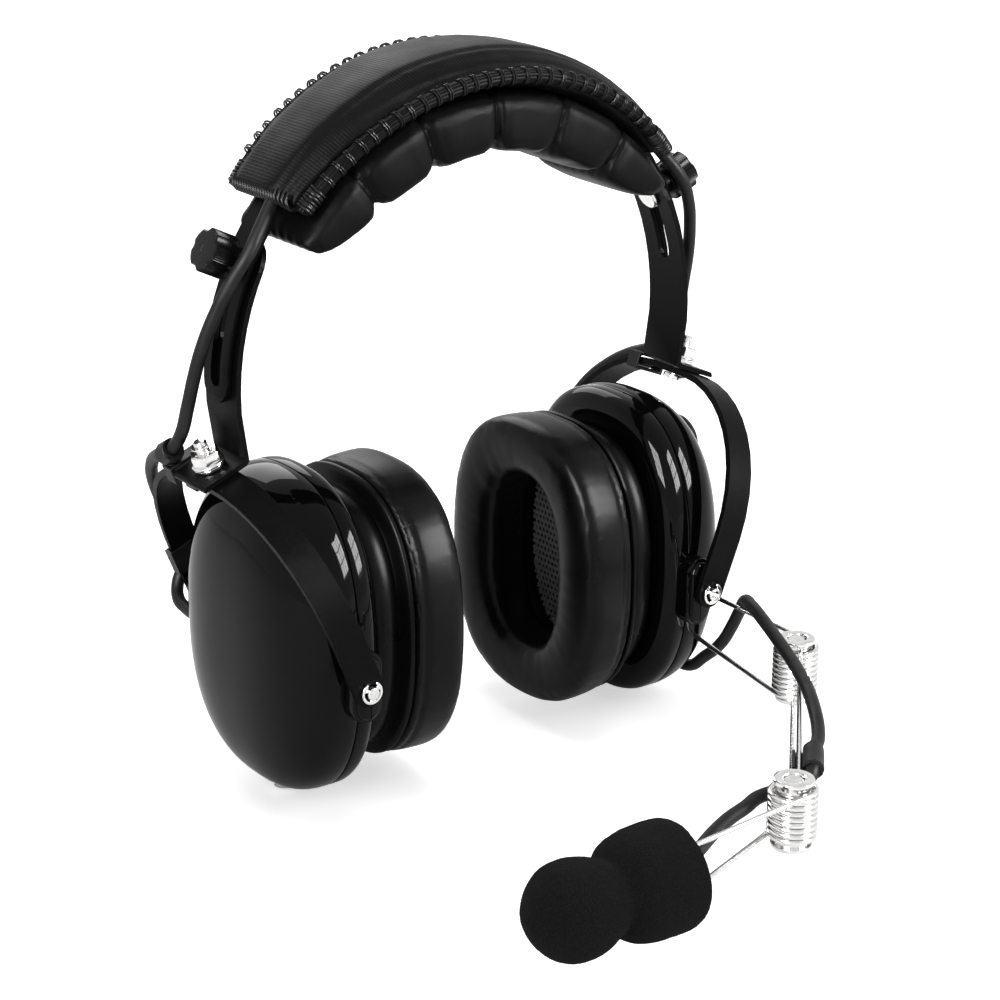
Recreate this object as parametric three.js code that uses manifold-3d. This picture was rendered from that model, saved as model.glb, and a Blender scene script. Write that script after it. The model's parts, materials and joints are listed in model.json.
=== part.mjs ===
// Aviation headset: padded spring band, two ear cups in yokes, wire boom with a foam-covered
// microphone. Millimetres, +Z up, the wearer faces -Y and the wearer's left ear is at +X.
// The origin is the crown of the head, where the middle of the head pad rests on it.
import * as THREE from 'three';
import Module from 'manifold-3d';
import { mergeVertices } from 'three/addons/utils/BufferGeometryUtils.js';

const wasm = await Module();
wasm.setup();

// ---------------------------------------------------------------- driving sizes
const clear = 0.3;              // gap between neighbouring pieces
const runClear = 0.4;           // gap between pieces that slide or turn

// head band: a leaf spring on one arc in the XZ plane
const bandRadius = 85.4;        // mid thickness of the spring
const arcAbovePivots = 81.6;    // arc centre above the ear cup pivots
const bandThick = 1.6;
const bandWidth = 12.6;
const bandEndAngle = -1.5;      // lower tip of each leg, degrees above the arc centre
const legSlotWidth = 5.0;
const legSlotLow = 3.4;         // slot end centre, degrees
const clampAngle = 26.2;        // clamp bolt, degrees

// slider: the stirrup strap inside each leg
const sliderThick = 1.6;
const sliderWidth = 17.2;
const sliderTopAngle = 25.8;    // centre of its rounded top end, degrees
const sliderSlotLow = 12.3;     // lower slot end centre, degrees
const slideTravel = 10;         // how far the slider runs up into the cover, degrees
const sliderArcLow = -3;        // where the arc ends and the straight shank begins, degrees
const footX = 81.2;             // shank mid thickness at the foot bend
const footZ = 62.6;             // foot bend above the pivots
const footLength = 15.6;        // along its slope, from the shank to the outer lip
const lipDrop = 2.9;            // lip below the foot's upper face
const lipHalf = 3.0;            // half width of the lip that limits the swivel
const yokeLean = 22;            // yoke plane and swivel bolt lean outboard, degrees

// swivel bolt and its stack
const boltRadius = 2.0;
const swivelAlong = 7.6;        // swivel bolt from the shank, along the foot
const washerRadius = 4.8;
const washerThick = 0.9;
const nutAcross = 8.0;
const nutHeight = 4.2;
const studAbove = 3.4;
const boltHeadHeight = 1.6;

// yoke
const yokeThick = 2.0;
const yokeWidth = 9.8;
const pivotX = 64.8;            // pivot axis of the ear cup, outboard of the middle
const pivotY = 45.4;            // middle of each yoke arm, in front of and behind the middle
const yokeEnd = 5.0;            // rounded arm end below the pivot
const armStraight = 18.0;       // each arm is straight up to here above the pivot

// clamp bolt and thumb knob
const clampHeadRadius = 4.2;
const clampHeadThick = 1.3;
const clampNeck = 2.1;          // radius of the neck in both slots
const clampShankRadius = 1.9;
const knobRadius = 6.5;
const knobHeight = 8.4;
const knobHubRadius = 4.2;
const knobHubHeight = 3.6;
const knobScoops = 5;

// ear cup: every ring of it is one oval, half depth along Y and half height along Z
const cupAbovePivots = 5.4;     // oval centre above the pivots
const ovalPower = 2.5;
const shellDepth = 38.0;        // half depth of the shell at the seam
const shellHeight = 50.4;       // half height of the shell at the seam
const seamX = 62.9;
const domeOut = 22.7;           // dome height outboard of the seam
const domePower = 2.7;
const shellWall = 2.2;
const baseX = 54.2;             // inboard edge of the shell base
const plateThick = 2.0;
const ringIn = 41.6;            // inboard face of the seal ring
const sealBackX = 41.3;         // the seal sits on the ring with one gap
const sealFaceX = 22.4;
const sealDepth = 37.6;
const sealHeight = 46.6;
const holeDepth = 17.0;         // half depth of the ear opening
const holeHeight = 28.0;

// pivot bosses, pins and push-on clips
const bossX = 63.2;
const bossWidth = 10.4;
const bossTop = 10.8;
const bossBottom = -11.8;
const bossFace = 43.7;
const pinRadius = 2.0;
const pinEnd = 48.6;
const clipRadius = 3.5;
const clipThick = 0.8;

// wire boom
const wire = 1.6;
const coilPitch = 2.07;
const coilRadius = 6.3;         // mid wire
const coilTurns = 6;            // whole turns, less the half turn between the two runs
const boomTop = -5.0;           // upper wire level against the pivots
const boomRootX = 72.0;
const boomRootY = -25.0;        // inside the cup wall
const hinge1 = [66.4, -84.4];
const hinge2 = [-0.5, -155.7];
const capRadius = 5.8;
const capThick = 1.3;
const upperWireOff = 1.3;       // the second link's wires beside the line of its posts
const lowerWireOff = -0.2;

// microphone
const micAxisY = -163.4;
const ballX = -82.6;
const ballRadius = 13.6;
const bellX = -47.8;            // rear face of the bell lobe
const bellRadius = 15.4;
const micHousingRadius = 6.4;
const micHousingLength = 30;

// cables
const cableRadius = 2.0;

// soft parts of the band
const coverHalfEnd = 16.5;      // half width of the cover at its ends
const coverHalfMid = 21.5;
const coverEndAngle = 39.2;     // degrees above the arc centre
const coverTop = 7.0;           // crown of the cover outside the spring
const coverUnder = 4.6;         // cover inside the spring
const padInner = 62.6;          // radius at the crown of the cells, from the arc centre
const padCells = 6;
const padEndAngle = 33;
const padEndRise = 9;           // the outermost cells taper toward their ends
const padChannel = 5.0;         // sewn channel below the crown of the cells
const padHalf = 21.5;           // half width of the cells
const pipingRadius = 2.3;

// volume control, cord gland
const volumeZ = 31.0;
const volumeY = 4.0;
const volumeRadius = 8.5;
const volumeHeight = 10.0;
const glandRadius = 3.0;

// ---------------------------------------------------------------- worked out from these
const rad = Math.PI / 180;
const crownAbovePivots = arcAbovePivots + padInner;
const sliderRadius = bandRadius - bandThick / 2 - runClear - sliderThick / 2;
const sliderIn = sliderRadius - sliderThick / 2;
const sliderOut = sliderRadius + sliderThick / 2;
const bandIn = bandRadius - bandThick / 2;
const bandOut = bandRadius + bandThick / 2;
const leanSin = Math.sin(yokeLean * rad);
const leanCos = Math.cos(yokeLean * rad);
const armOuter = pivotY + yokeThick / 2;

// ---------------------------------------------------------------- solids and booleans
function solid(geometry) {
  const g = geometry.clone();
  g.deleteAttribute('normal');
  g.deleteAttribute('uv');
  const m = mergeVertices(g, 1e-4);
  const index = m.index.array;
  return new wasm.Manifold(new wasm.Mesh({
    numProp: 3,
    vertProperties: new Float32Array(m.attributes.position.array),
    triVerts: new Uint32Array(index),
  }));
}

function geometryOf(body) {
  const mesh = body.getMesh();
  const g = new THREE.BufferGeometry();
  g.setAttribute('position', new THREE.BufferAttribute(new Float32Array(mesh.vertProperties), 3));
  g.setIndex(new THREE.BufferAttribute(new Uint32Array(mesh.triVerts), 1));
  return g;
}

function cut(first, ...others) {
  let body = solid(first);
  for (const o of others) body = body.subtract(solid(o));
  return geometryOf(body);
}

function join(first, ...others) {
  let body = solid(first);
  for (const o of others) body = body.add(solid(o));
  return geometryOf(body);
}

function common(first, second) {
  return geometryOf(solid(first).intersect(solid(second)));
}

// a copy mirrored to the other ear, with its faces still pointing out
function mirrored(geometry) {
  const g = geometry.index ? geometry.clone() : mergeVertices(stripped(geometry));
  g.applyMatrix4(new THREE.Matrix4().makeScale(-1, 1, 1));
  const a = g.index.array;
  for (let i = 0; i < a.length; i += 3) {
    const keep = a[i];
    a[i] = a[i + 1];
    a[i + 1] = keep;
  }
  return g;
}

function stripped(geometry) {
  const g = geometry.clone();
  g.deleteAttribute('normal');
  g.deleteAttribute('uv');
  return g;
}

// ---------------------------------------------------------------- shapes used many times
// a closed polygon of [x, z] points, as thick as y0 to y1
function slabXZ(points, y0, y1) {
  const shape = new THREE.Shape(points.map(([x, z]) => new THREE.Vector2(x, z)));
  const g = new THREE.ExtrudeGeometry(shape, { depth: y1 - y0, bevelEnabled: false });
  return g.rotateX(Math.PI / 2).translate(0, y1, 0);
}

// [x, z] on a circle about the arc centre
function onArc(radius, degrees) {
  return [radius * Math.cos(degrees * rad), arcAbovePivots + radius * Math.sin(degrees * rad)];
}

function arcPoints(radius, from, to, steps) {
  const list = [];
  for (let i = 0; i <= steps; i++) list.push(onArc(radius, from + ((to - from) * i) / steps));
  return list;
}

// a piece of a flat ring about the arc centre
function arcBar(rIn, rOut, from, to, width, steps) {
  const outline = [...arcPoints(rOut, from, to, steps), ...arcPoints(rIn, to, from, steps)];
  return slabXZ(outline, -width / 2, width / 2);
}

// turns a shape built along +Y so that it points along dir from at
function aim(geometry, at, dir) {
  const turn = new THREE.Quaternion().setFromUnitVectors(
    new THREE.Vector3(0, 1, 0), new THREE.Vector3(...dir).normalize());
  return geometry.applyQuaternion(turn).translate(...at);
}

function radialDir(degrees) {
  return [Math.cos(degrees * rad), 0, Math.sin(degrees * rad)];
}

// a rod along the radius at an angle, between two radii
function radialRod(degrees, r0, r1, radius, sides) {
  const g = new THREE.CylinderGeometry(radius, radius, r1 - r0, sides);
  const [x, z] = onArc((r0 + r1) / 2, degrees);
  return aim(g, [x, 0, z], radialDir(degrees));
}

function rodY(x, z, y0, y1, radius, sides) {
  return new THREE.CylinderGeometry(radius, radius, y1 - y0, sides).translate(x, (y0 + y1) / 2, z);
}

// lathe of [radius, along] points about +Y
function turned(profile, sides) {
  return new THREE.LatheGeometry(profile.map(([r, h]) => new THREE.Vector2(r, h)), sides);
}

// unit oval: superellipse points in [y, z]
function ovalUnit(sides) {
  const list = [];
  for (let i = 0; i < sides; i++) {
    const a = (2 * Math.PI * i) / sides;
    const c = Math.cos(a);
    const s = Math.sin(a);
    const p = 2 / ovalPower;
    list.push([Math.sign(c) * Math.abs(c) ** p, Math.sign(s) * Math.abs(s) ** p]);
  }
  return list;
}

// skin over rings of equal count; the last ring joins the first when wrap is set,
// and otherwise both ends are closed by a fan
function skin(rings, wrap) {
  const count = rings[0].length;
  const position = [];
  for (const ring of rings) for (const p of ring) position.push(...p);
  const index = [];
  const spans = wrap ? rings.length : rings.length - 1;
  for (let r = 0; r < spans; r++) {
    const a = r * count;
    const b = ((r + 1) % rings.length) * count;
    for (let i = 0; i < count; i++) {
      const j = (i + 1) % count;
      index.push(a + i, b + i, b + j, a + i, b + j, a + j);
    }
  }
  if (!wrap) {
    for (const [ring, flip] of [[0, true], [rings.length - 1, false]]) {
      const mid = position.length / 3;
      const sum = [0, 0, 0];
      for (const p of rings[ring]) for (let k = 0; k < 3; k++) sum[k] += p[k] / count;
      position.push(...sum);
      for (let i = 0; i < count; i++) {
        const a = ring * count + i;
        const b = ring * count + ((i + 1) % count);
        if (flip) index.push(mid, a, b);
        else index.push(mid, b, a);
      }
    }
  }
  const g = new THREE.BufferGeometry();
  g.setAttribute('position', new THREE.Float32BufferAttribute(position, 3));
  g.setIndex(index);
  return outward(g);
}

// turns every face round if the closed mesh is inside out
function outward(g) {
  const p = g.attributes.position.array;
  const a = g.index.array;
  let volume = 0;
  for (let i = 0; i < a.length; i += 3) {
    const [u, v, w] = [a[i] * 3, a[i + 1] * 3, a[i + 2] * 3];
    volume += p[u] * (p[v + 1] * p[w + 2] - p[v + 2] * p[w + 1])
      + p[u + 1] * (p[v + 2] * p[w] - p[v] * p[w + 2])
      + p[u + 2] * (p[v] * p[w + 1] - p[v + 1] * p[w]);
  }
  if (volume < 0) {
    for (let i = 0; i < a.length; i += 3) {
      const keep = a[i];
      a[i] = a[i + 1];
      a[i + 1] = keep;
    }
  }
  return g;
}

// a cup piece: rings [x, halfDepth, halfHeight] round the cup's own oval
function ovalPiece(stations, sides, wrap) {
  const unit = ovalUnit(sides);
  return skin(stations.map(([x, b, c]) => unit.map(
    ([y, z]) => [x, y * b, cupAbovePivots + z * c])), wrap);
}

// an unbroken tube through points, with parallel frames
function tube(points, radius, sides) {
  const pts = points.map((p) => new THREE.Vector3(...p));
  const rings = [];
  let side = new THREE.Vector3(0.31, 0.17, 0.93);
  for (let i = 0; i < pts.length; i++) {
    const before = pts[Math.max(i - 1, 0)];
    const after = pts[Math.min(i + 1, pts.length - 1)];
    const dir = after.clone().sub(before).normalize();
    side = side.clone().addScaledVector(dir, -side.dot(dir)).normalize();
    const up = dir.clone().cross(side);
    const ring = [];
    for (let k = 0; k < sides; k++) {
      const a = (2 * Math.PI * k) / sides;
      const q = pts[i].clone().addScaledVector(side, radius * Math.cos(a))
        .addScaledVector(up, radius * Math.sin(a));
      ring.push([q.x, q.y, q.z]);
    }
    rings.push(ring);
  }
  return skin(rings, false);
}

// a cable: a round section swept along a smooth curve through its points
const cableSides = 8;
function cable(points, steps, radius = cableRadius) {
  const path = new THREE.CatmullRomCurve3(
    points.map((p) => new THREE.Vector3(...p)), false, 'centripetal');
  const section = new THREE.EllipseCurve(0, 0, radius, radius).getPoints(cableSides).slice(0, -1);
  return new THREE.ExtrudeGeometry(new THREE.Shape(section), {
    steps, bevelEnabled: false, extrudePath: path });
}

// ---------------------------------------------------------------- scene graph
const headset = new THREE.Group();
const pivots = new THREE.Group();   // its origin is level with the ear cup pivots
pivots.position.z = -crownAbovePivots;
headset.add(pivots);

function finish(color, roughness, metalness) {
  return new THREE.MeshStandardMaterial({ color, roughness, metalness });
}
const glossBlack = () => finish(0x0b0b0c, 0.12, 0.0);
const satinBlack = () => finish(0x0d0d0e, 0.42, 0.1);
const rubberBlack = () => finish(0x161617, 0.6, 0.0);
const leatherBlack = () => finish(0x141415, 0.5, 0.0);
const chrome = () => finish(0xdedfe2, 0.12, 1.0);
const foamBlack = () => finish(0x171717, 0.95, 0.0);

function piece(name, geometry, material) {
  const mesh = new THREE.Mesh(geometry, material);
  mesh.name = name;
  pivots.add(mesh);
}

// the same piece on both ears: left is the wearer's left, at +X
function pair(name, geometry, material) {
  piece(`left_${name}`, geometry, material());
  piece(`right_${name}`, mirrored(geometry), material());
}

// ---------------------------------------------------------------- band spring
function slotCut(width, from, to, r0, r1) {
  return join(
    arcBar(r0, r1, from, to, width, 4),
    radialRod(from, r0, r1, width / 2, 10),
    radialRod(to, r0, r1, width / 2, 10));
}

const facet = 6;                // degrees between the facets of the spring
function bandSpring() {
  const tip = bandWidth / 2 / bandRadius / rad;
  const low = bandEndAngle + tip;
  const blank = arcBar(bandIn, bandOut, -facet, 180 + facet, bandWidth, 180 / facet + 2);
  const margin = 3;
  const mask = join(
    arcBar(bandIn - margin, bandOut + margin, low, 180 - low, bandWidth + 2, 20),
    radialRod(low, bandIn - margin, bandOut + margin, bandWidth / 2, 16),
    radialRod(180 - low, bandIn - margin, bandOut + margin, bandWidth / 2, 16));
  const slot = slotCut(legSlotWidth, legSlotLow, clampAngle, bandIn - margin, bandOut + margin);
  return cut(common(blank, mask), slot, mirrored(slot));
}
piece('band_spring', bandSpring(), satinBlack());

// ---------------------------------------------------------------- sliders
// foot frame: a point some way along the foot and above its mid thickness
function onFoot(along, above) {
  return [footX + along * leanCos + above * leanSin, footZ - along * leanSin + above * leanCos];
}

function slider() {
  const half = sliderThick / 2;
  const topTip = sliderTopAngle + sliderWidth / 2 / sliderRadius / rad;
  const outer = arcPoints(sliderOut, topTip, sliderArcLow, 8);
  const inner = arcPoints(sliderIn, sliderArcLow, topTip, 8);
  const footRun = [
    [footX + half, footZ + half + 0.4],
    onFoot(half + 0.8, half),
    onFoot(footLength - half, half),
    onFoot(footLength, 0),
    onFoot(footLength, -half),
    onFoot(0.6, -half),
    [footX - half, footZ + 0.3],
  ];
  const blank = slabXZ([...outer, ...footRun, ...inner], -sliderWidth / 2, sliderWidth / 2);
  const margin = 3;
  const corners = cut(
    arcBar(sliderIn - margin, sliderOut + margin, sliderTopAngle, topTip + 2, sliderWidth + 2, 4),
    radialRod(sliderTopAngle, sliderIn - margin - 1, sliderOut + margin + 1, sliderWidth / 2, 20));
  const slot = slotCut(legSlotWidth, sliderSlotLow, clampAngle, sliderIn - margin, sliderOut + margin);
  const [bx, bz] = onFoot(swivelAlong, 0);
  const hole = aim(new THREE.CylinderGeometry(boltRadius + clear, boltRadius + clear, 12, 12),
    [bx, 0, bz], [leanSin, 0, leanCos]);
  const lip = slabXZ([
    onFoot(footLength - sliderThick, 0.3), onFoot(footLength - 0.1, 0.3),
    onFoot(footLength - 0.1, half - lipDrop), onFoot(footLength - sliderThick, half - lipDrop)], -lipHalf, lipHalf);
  return cut(join(blank, lip), corners, slot, hole);
}
pair('slider', slider(), satinBlack);

// ---------------------------------------------------------------- clamp bolt and knob
function clampBolt() {
  const headTop = sliderIn - clear;
  const neckTop = bandOut - 0.2;
  const head = turned([
    [0, headTop - clampHeadThick], [clampHeadRadius - 0.5, headTop - clampHeadThick],
    [clampHeadRadius, headTop - clampHeadThick + 0.5], [clampHeadRadius, headTop], [0, headTop],
  ], 16);
  const neck = new THREE.CylinderGeometry(clampNeck, clampNeck, neckTop - headTop + 0.6, 12)
    .translate(0, (neckTop + headTop - 0.6) / 2, 0);
  const shankEnd = bandOut + clear + knobHubHeight + knobHeight - 2.4;
  const shank = new THREE.CylinderGeometry(clampShankRadius, clampShankRadius, shankEnd - headTop, 12)
    .translate(0, (shankEnd + headTop) / 2, 0);
  return aim(join(head, neck, shank), [0, 0, arcAbovePivots], radialDir(clampAngle));
}
pair('clamp_bolt', clampBolt(), chrome);

function knob() {
  const base = bandOut + clear;
  const top = base + knobHubHeight + knobHeight;
  const bore = clampShankRadius + clear;
  const boreEnd = top - 2.4 + clear;
  let body = turned([
    [bore, base], [knobHubRadius, base], [knobHubRadius, base + knobHubHeight],
    [knobRadius - 0.6, base + knobHubHeight], [knobRadius, base + knobHubHeight + 0.6],
    [knobRadius, top - 0.9], [knobRadius - 0.9, top], [0, top], [0, boreEnd], [bore, boreEnd], [bore, base],
  ], 15);
  const scoops = [];
  for (let i = 0; i < knobScoops; i++) {
    const a = (2 * Math.PI * i) / knobScoops;
    const reach = knobRadius + 1.9;
    scoops.push(new THREE.CylinderGeometry(2.8, 2.8, knobHeight + 2, 9)
      .translate(reach * Math.cos(a), top - knobHeight / 2 + 0.7, reach * Math.sin(a)));
  }
  body = cut(body, ...scoops);
  return aim(body, [0, 0, arcAbovePivots], radialDir(clampAngle));
}
pair('knob', knob(), satinBlack);

// ---------------------------------------------------------------- yoke
// yoke frame: across is along Y, up is along the lean, through the pivot axis
const yokeUp = [leanSin, 0, leanCos];
function inYoke(geometry) {
  const basis = new THREE.Matrix4().makeBasis(
    new THREE.Vector3(0, 1, 0), new THREE.Vector3(...yokeUp), new THREE.Vector3(leanCos, 0, -leanSin));
  return geometry.applyMatrix4(basis).translate(pivotX, 0, 0);
}
// the foot's underside in the yoke frame, and the swivel axis' place along the foot
const [swivelX, swivelZ] = onFoot(swivelAlong, 0);
const footLevel = (swivelX - pivotX) * leanSin + swivelZ * leanCos;
const swivelOff = (swivelX - pivotX) * leanCos - swivelZ * leanSin;
const yokeTop = footLevel - sliderThick / 2 - clear;

// outer outline of the yoke in its own plane, [across, up], from the middle to the arm end
function yokeOutline() {
  const a = armOuter;
  const t = yokeTop;
  const curve = new THREE.CubicBezierCurve(
    new THREE.Vector2(9, t), new THREE.Vector2(28.4, t - 0.5),
    new THREE.Vector2(a - 0.4, t - 18), new THREE.Vector2(a, armStraight));
  return curve.getPoints(10);
}

function yoke() {
  const half = yokeOutline();
  const inner = [];
  half.forEach((p, i) => {
    const q = half[Math.min(i + 1, half.length - 1)];
    const o = half[Math.max(i - 1, 0)];
    const d = q.clone().sub(o).normalize();
    inner.push(new THREE.Vector2(p.x + d.y * yokeThick, p.y - d.x * yokeThick));
  });
  inner[0].set(half[0].x, yokeTop - yokeThick);
  inner[inner.length - 1].set(armOuter - yokeThick, armStraight);
  const right = [
    ...half, new THREE.Vector2(armOuter, -yokeEnd), new THREE.Vector2(armOuter - yokeThick, -yokeEnd),
    ...inner.reverse()];
  const left = right.map((p) => new THREE.Vector2(-p.x, p.y)).reverse();
  const shape = new THREE.Shape([...right, ...left]);
  const width = yokeWidth;
  const blank = new THREE.ExtrudeGeometry(shape, { depth: width, bevelEnabled: false })
    .translate(0, 0, -width / 2);
  const reach = 2 * armOuter + 8;
  const end = cut(
    new THREE.BoxGeometry(reach, yokeEnd + 1, width + 2).translate(0, -(yokeEnd + 1) / 2, 0),
    new THREE.CylinderGeometry(width / 2, width / 2, reach + 2, 16).rotateZ(Math.PI / 2));
  const pinHole = new THREE.CylinderGeometry(pinRadius + clear, pinRadius + clear, reach, 12)
    .rotateZ(Math.PI / 2);
  const boltHole = new THREE.CylinderGeometry(boltRadius + clear, boltRadius + clear, 14, 12)
    .translate(0, yokeTop, swivelOff);
  return inYoke(cut(blank, end, pinHole, boltHole));
}
pair('yoke', yoke(), satinBlack);

// ---------------------------------------------------------------- swivel bolt, spacer, nut
// a turned piece standing on the swivel axis, measured from the yoke's upper face
function onSwivel(geometry) {
  return inYoke(geometry.translate(0, yokeTop, swivelOff));
}
const footOver = clear + sliderThick;
const nutBase = footOver + clear + washerThick + clear;

function swivelBolt() {
  const r = boltRadius;
  const top = nutBase + nutHeight + studAbove;
  const under = -yokeThick - clear;
  return onSwivel(turned([
    [0, under - boltHeadHeight], [3.0, under - boltHeadHeight], [3.6, under - boltHeadHeight + 0.5],
    [3.6, under], [r, under], [r, top - 1.8], [1.5, top - 1.6], [1.5, top - 1.1], [r, top - 0.9],
    [r, top - 0.3], [r - 0.3, top], [0, top],
  ], 10));
}
pair('swivel_bolt', swivelBolt(), chrome);

function washer(base, thick, outer) {
  const r = boltRadius + clear;
  return onSwivel(turned([
    [r, base], [outer, base], [outer, base + thick], [r, base + thick], [r, base],
  ], 12));
}
pair('swivel_washer', washer(footOver + clear, washerThick, washerRadius), satinBlack);

function swivelNut() {
  const r = boltRadius + clear;
  const hex = new THREE.CylinderGeometry(nutAcross / 2 / Math.cos(30 * rad),
    nutAcross / 2 / Math.cos(30 * rad), nutHeight, 6).translate(0, nutBase + nutHeight / 2, 0);
  const bore = new THREE.CylinderGeometry(r, r, nutHeight + 2, 12).translate(0, nutBase + nutHeight / 2, 0);
  const chamfer = turned([
    [0, nutBase - 1], [5.2, nutBase - 1], [5.2, nutBase + nutHeight - 0.7],
    [3.8, nutBase + nutHeight + 0.1], [0, nutBase + nutHeight + 0.1],
  ], 18);
  return onSwivel(cut(common(hex, chamfer), bore));
}
pair('swivel_nut', swivelNut(), chrome);

// ---------------------------------------------------------------- crossover cable
// a point given in the yoke frame: across, up and to the side
function fromYoke(across, up, side) {
  return [pivotX + up * leanSin + side * leanCos, across, up * leanCos - side * leanSin];
}
const ringAt = [15.5, yokeTop + 4.5, 3.0];
const armCableY = armOuter + clear + cableRadius + 0.3;
const coverCable = { radius: bandOut + clear + cableRadius + clear, y: -6 };
const coverEnd = onArc(coverCable.radius, coverEndAngle);
// a point so far outboard of the spring's outer face, at an angle on its arc
function offBand(gap, degrees, y) {
  const [x, z] = onArc(bandOut + gap, degrees);
  return [x, y, z];
}
// the left run: out of the cover, past the knob and the leg, through the clip, down the
// rear arm and into the cup
const sideCable = [
  [coverEnd[0] + 0.2, coverCable.y, coverEnd[1] - 0.25],
  offBand(2.97, 34.03, -7.8),
  offBand(3.91, 28.21, -9.3),
  offBand(4.72, 22.50, -7.4),
  offBand(5.10, 16.15, -4.2),
  offBand(5.34, 9.81, -0.9),
  offBand(5.50, 3.75, 2.2),
  offBand(6.16, -2.11, 5.0),
  offBand(7.42, -7.61, 8.4),
  fromYoke(...ringAt),
  fromYoke(21.6, yokeTop + 1.7, 3.0),
  fromYoke(28.0, yokeTop - 1.3, 2.8),
  fromYoke(35.8, yokeTop - 7.2, 2.2),
  fromYoke(42.3, yokeTop - 15.2, 1.4),
  fromYoke(46.2, yokeTop - 25.3, 0.6),
  fromYoke(48.9, yokeTop - 36.6, 0.1),
  fromYoke(armCableY, yokeTop - 43.0, 0),
  fromYoke(armCableY, yokeTop - 48.5, 0.3),
  fromYoke(armCableY + 0.2, yokeTop - 51.5, 1.8),
  fromYoke(armCableY - 0.2, yokeTop - 55.6, 6.0),
  fromYoke(armCableY - 3.8, yokeTop - 58.2, 9.1),
  fromYoke(armCableY - 9.5, yokeTop - 59.4, 9.9),
  fromYoke(armCableY - 15.2, yokeTop - 59.6, 10.2),
];
const sideCableSteps = 27;
pair('crossover_cable', cable(sideCable, sideCableSteps), rubberBlack);
const sideCableHole = cable(sideCable, sideCableSteps, cableRadius + clear);

// the run inside the cover
const hiddenRun = [];
for (let i = 0; i <= 12; i++) {
  const from = coverEndAngle + 0.1;
  const [x, z] = onArc(coverCable.radius, from + ((180 - 2 * from) * i) / 12);
  hiddenRun.push([x, coverCable.y, z]);
}
piece('crossover_cable', cable(hiddenRun, 14), rubberBlack());

// a tube for the cable on a band that wraps round the strap
const clipWall = 0.9;
function cableClip() {
  const length = 5.0;
  const [across, up, side] = ringAt;
  const drop = 1.5;             // the strap falls away by this much within the band
  const ring = aim(new THREE.CylinderGeometry(3.7, 3.7, length, 12), fromYoke(across, up, side), [0.02, 0.86, -0.5]);
  const low = yokeTop - yokeThick - drop - clear;
  const wrap = new THREE.BoxGeometry(length, yokeTop - low + 2 * clipWall, yokeWidth + 2 * (clear + clipWall))
    .translate(across, (yokeTop + low) / 2, 0);
  const inside = new THREE.BoxGeometry(length + 2, yokeTop - low, yokeWidth + 2 * clear)
    .translate(across, (yokeTop + low) / 2, 0);
  return cut(join(ring, inYoke(wrap)), inYoke(inside), sideCableHole);
}
pair('cable_clip', cableClip(), satinBlack);

// a sleeve that holds the cable to the rear arm
const sleeveWall = 0.7;
function cableSleeve() {
  const [low, high] = [yokeTop - 50.5, yokeTop - 42];
  const gap = clear + sleeveWall;
  const box = (margin, height) => new THREE.BoxGeometry(
    yokeThick + 2 * margin, height, yokeWidth + 2 * margin).translate(pivotY, (low + high) / 2, 0);
  const over = new THREE.CylinderGeometry(cableRadius + gap, cableRadius + gap, high - low - 0.4, 12)
    .translate(armCableY, (low + high) / 2, 0);
  return cut(join(inYoke(box(gap, high - low)), inYoke(over)), inYoke(box(clear, high - low + 2)), sideCableHole);
}
pair('cable_sleeve', cableSleeve(), rubberBlack);

// ---------------------------------------------------------------- wire boom, its runs
const boomLow = boomTop - coilPitch * (coilTurns + 1.5);
const root = [boomRootX, boomRootY];
const clipSide = 5.25;          // the cable beside the line of the second link, at its clip

function aroundPost(centre, angle, z) {
  return [centre[0] + coilRadius * Math.cos(angle), centre[1] + coilRadius * Math.sin(angle), z];
}

// a coil round a post whose two runs both lead straight to the same plan point; sense is 1
// when it turns anticlockwise on its way down
const coilSteps = 8;
function coil(centre, toward, sense) {
  const top = boomTop - coilPitch;
  const low = boomLow + coilPitch;
  const [dx, dy] = [toward[0] - centre[0], toward[1] - centre[1]];
  const line = Math.atan2(dy, dx);
  const off = Math.acos(coilRadius / Math.hypot(dx, dy));
  const sweep = coilTurns * 2 * Math.PI - 2 * off;
  const steps = Math.round((sweep / (2 * Math.PI)) * coilSteps);
  const list = [];
  for (let i = 0; i <= steps; i++) {
    list.push(aroundPost(
      centre, line + sense * (off + (sweep * i) / steps), top + ((low - top) * i) / steps));
  }
  return list;
}

// least distance between the surfaces of turns that lie on each other
function leastGap(points) {
  let least = Infinity;
  for (let i = 0; i < points.length; i++) {
    for (let j = i + coilSteps / 2; j < points.length; j++) {
      const d = Math.hypot(...points[i].map((v, k) => v - points[j][k]));
      least = Math.min(least, d - wire);
    }
  }
  return least;
}

const wireSides = 5;
const wireTube = (points) => tube(points, wire / 2, wireSides);
const coil1 = coil(hinge1, root, -1);
const rootRuns = [[[...root, boomTop], coil1[0]], [[...root, boomLow], coil1[coil1.length - 1]]];

// ---------------------------------------------------------------- ear cup shell
const cupSides = 24;
function domeRings(wallIn, x0, steps) {
  const list = [];
  const reach = domeOut - wallIn;
  for (let i = 0; i <= steps; i++) {
    const a = (Math.PI / 2) * (i / steps);
    const u = Math.sin(a);
    const s = i === steps ? 0.02 : (1 - u ** domePower) ** (1 / domePower);
    list.push([x0 + reach * u, (shellDepth - wallIn) * s, (shellHeight - wallIn) * s]);
  }
  return list;
}

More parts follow.
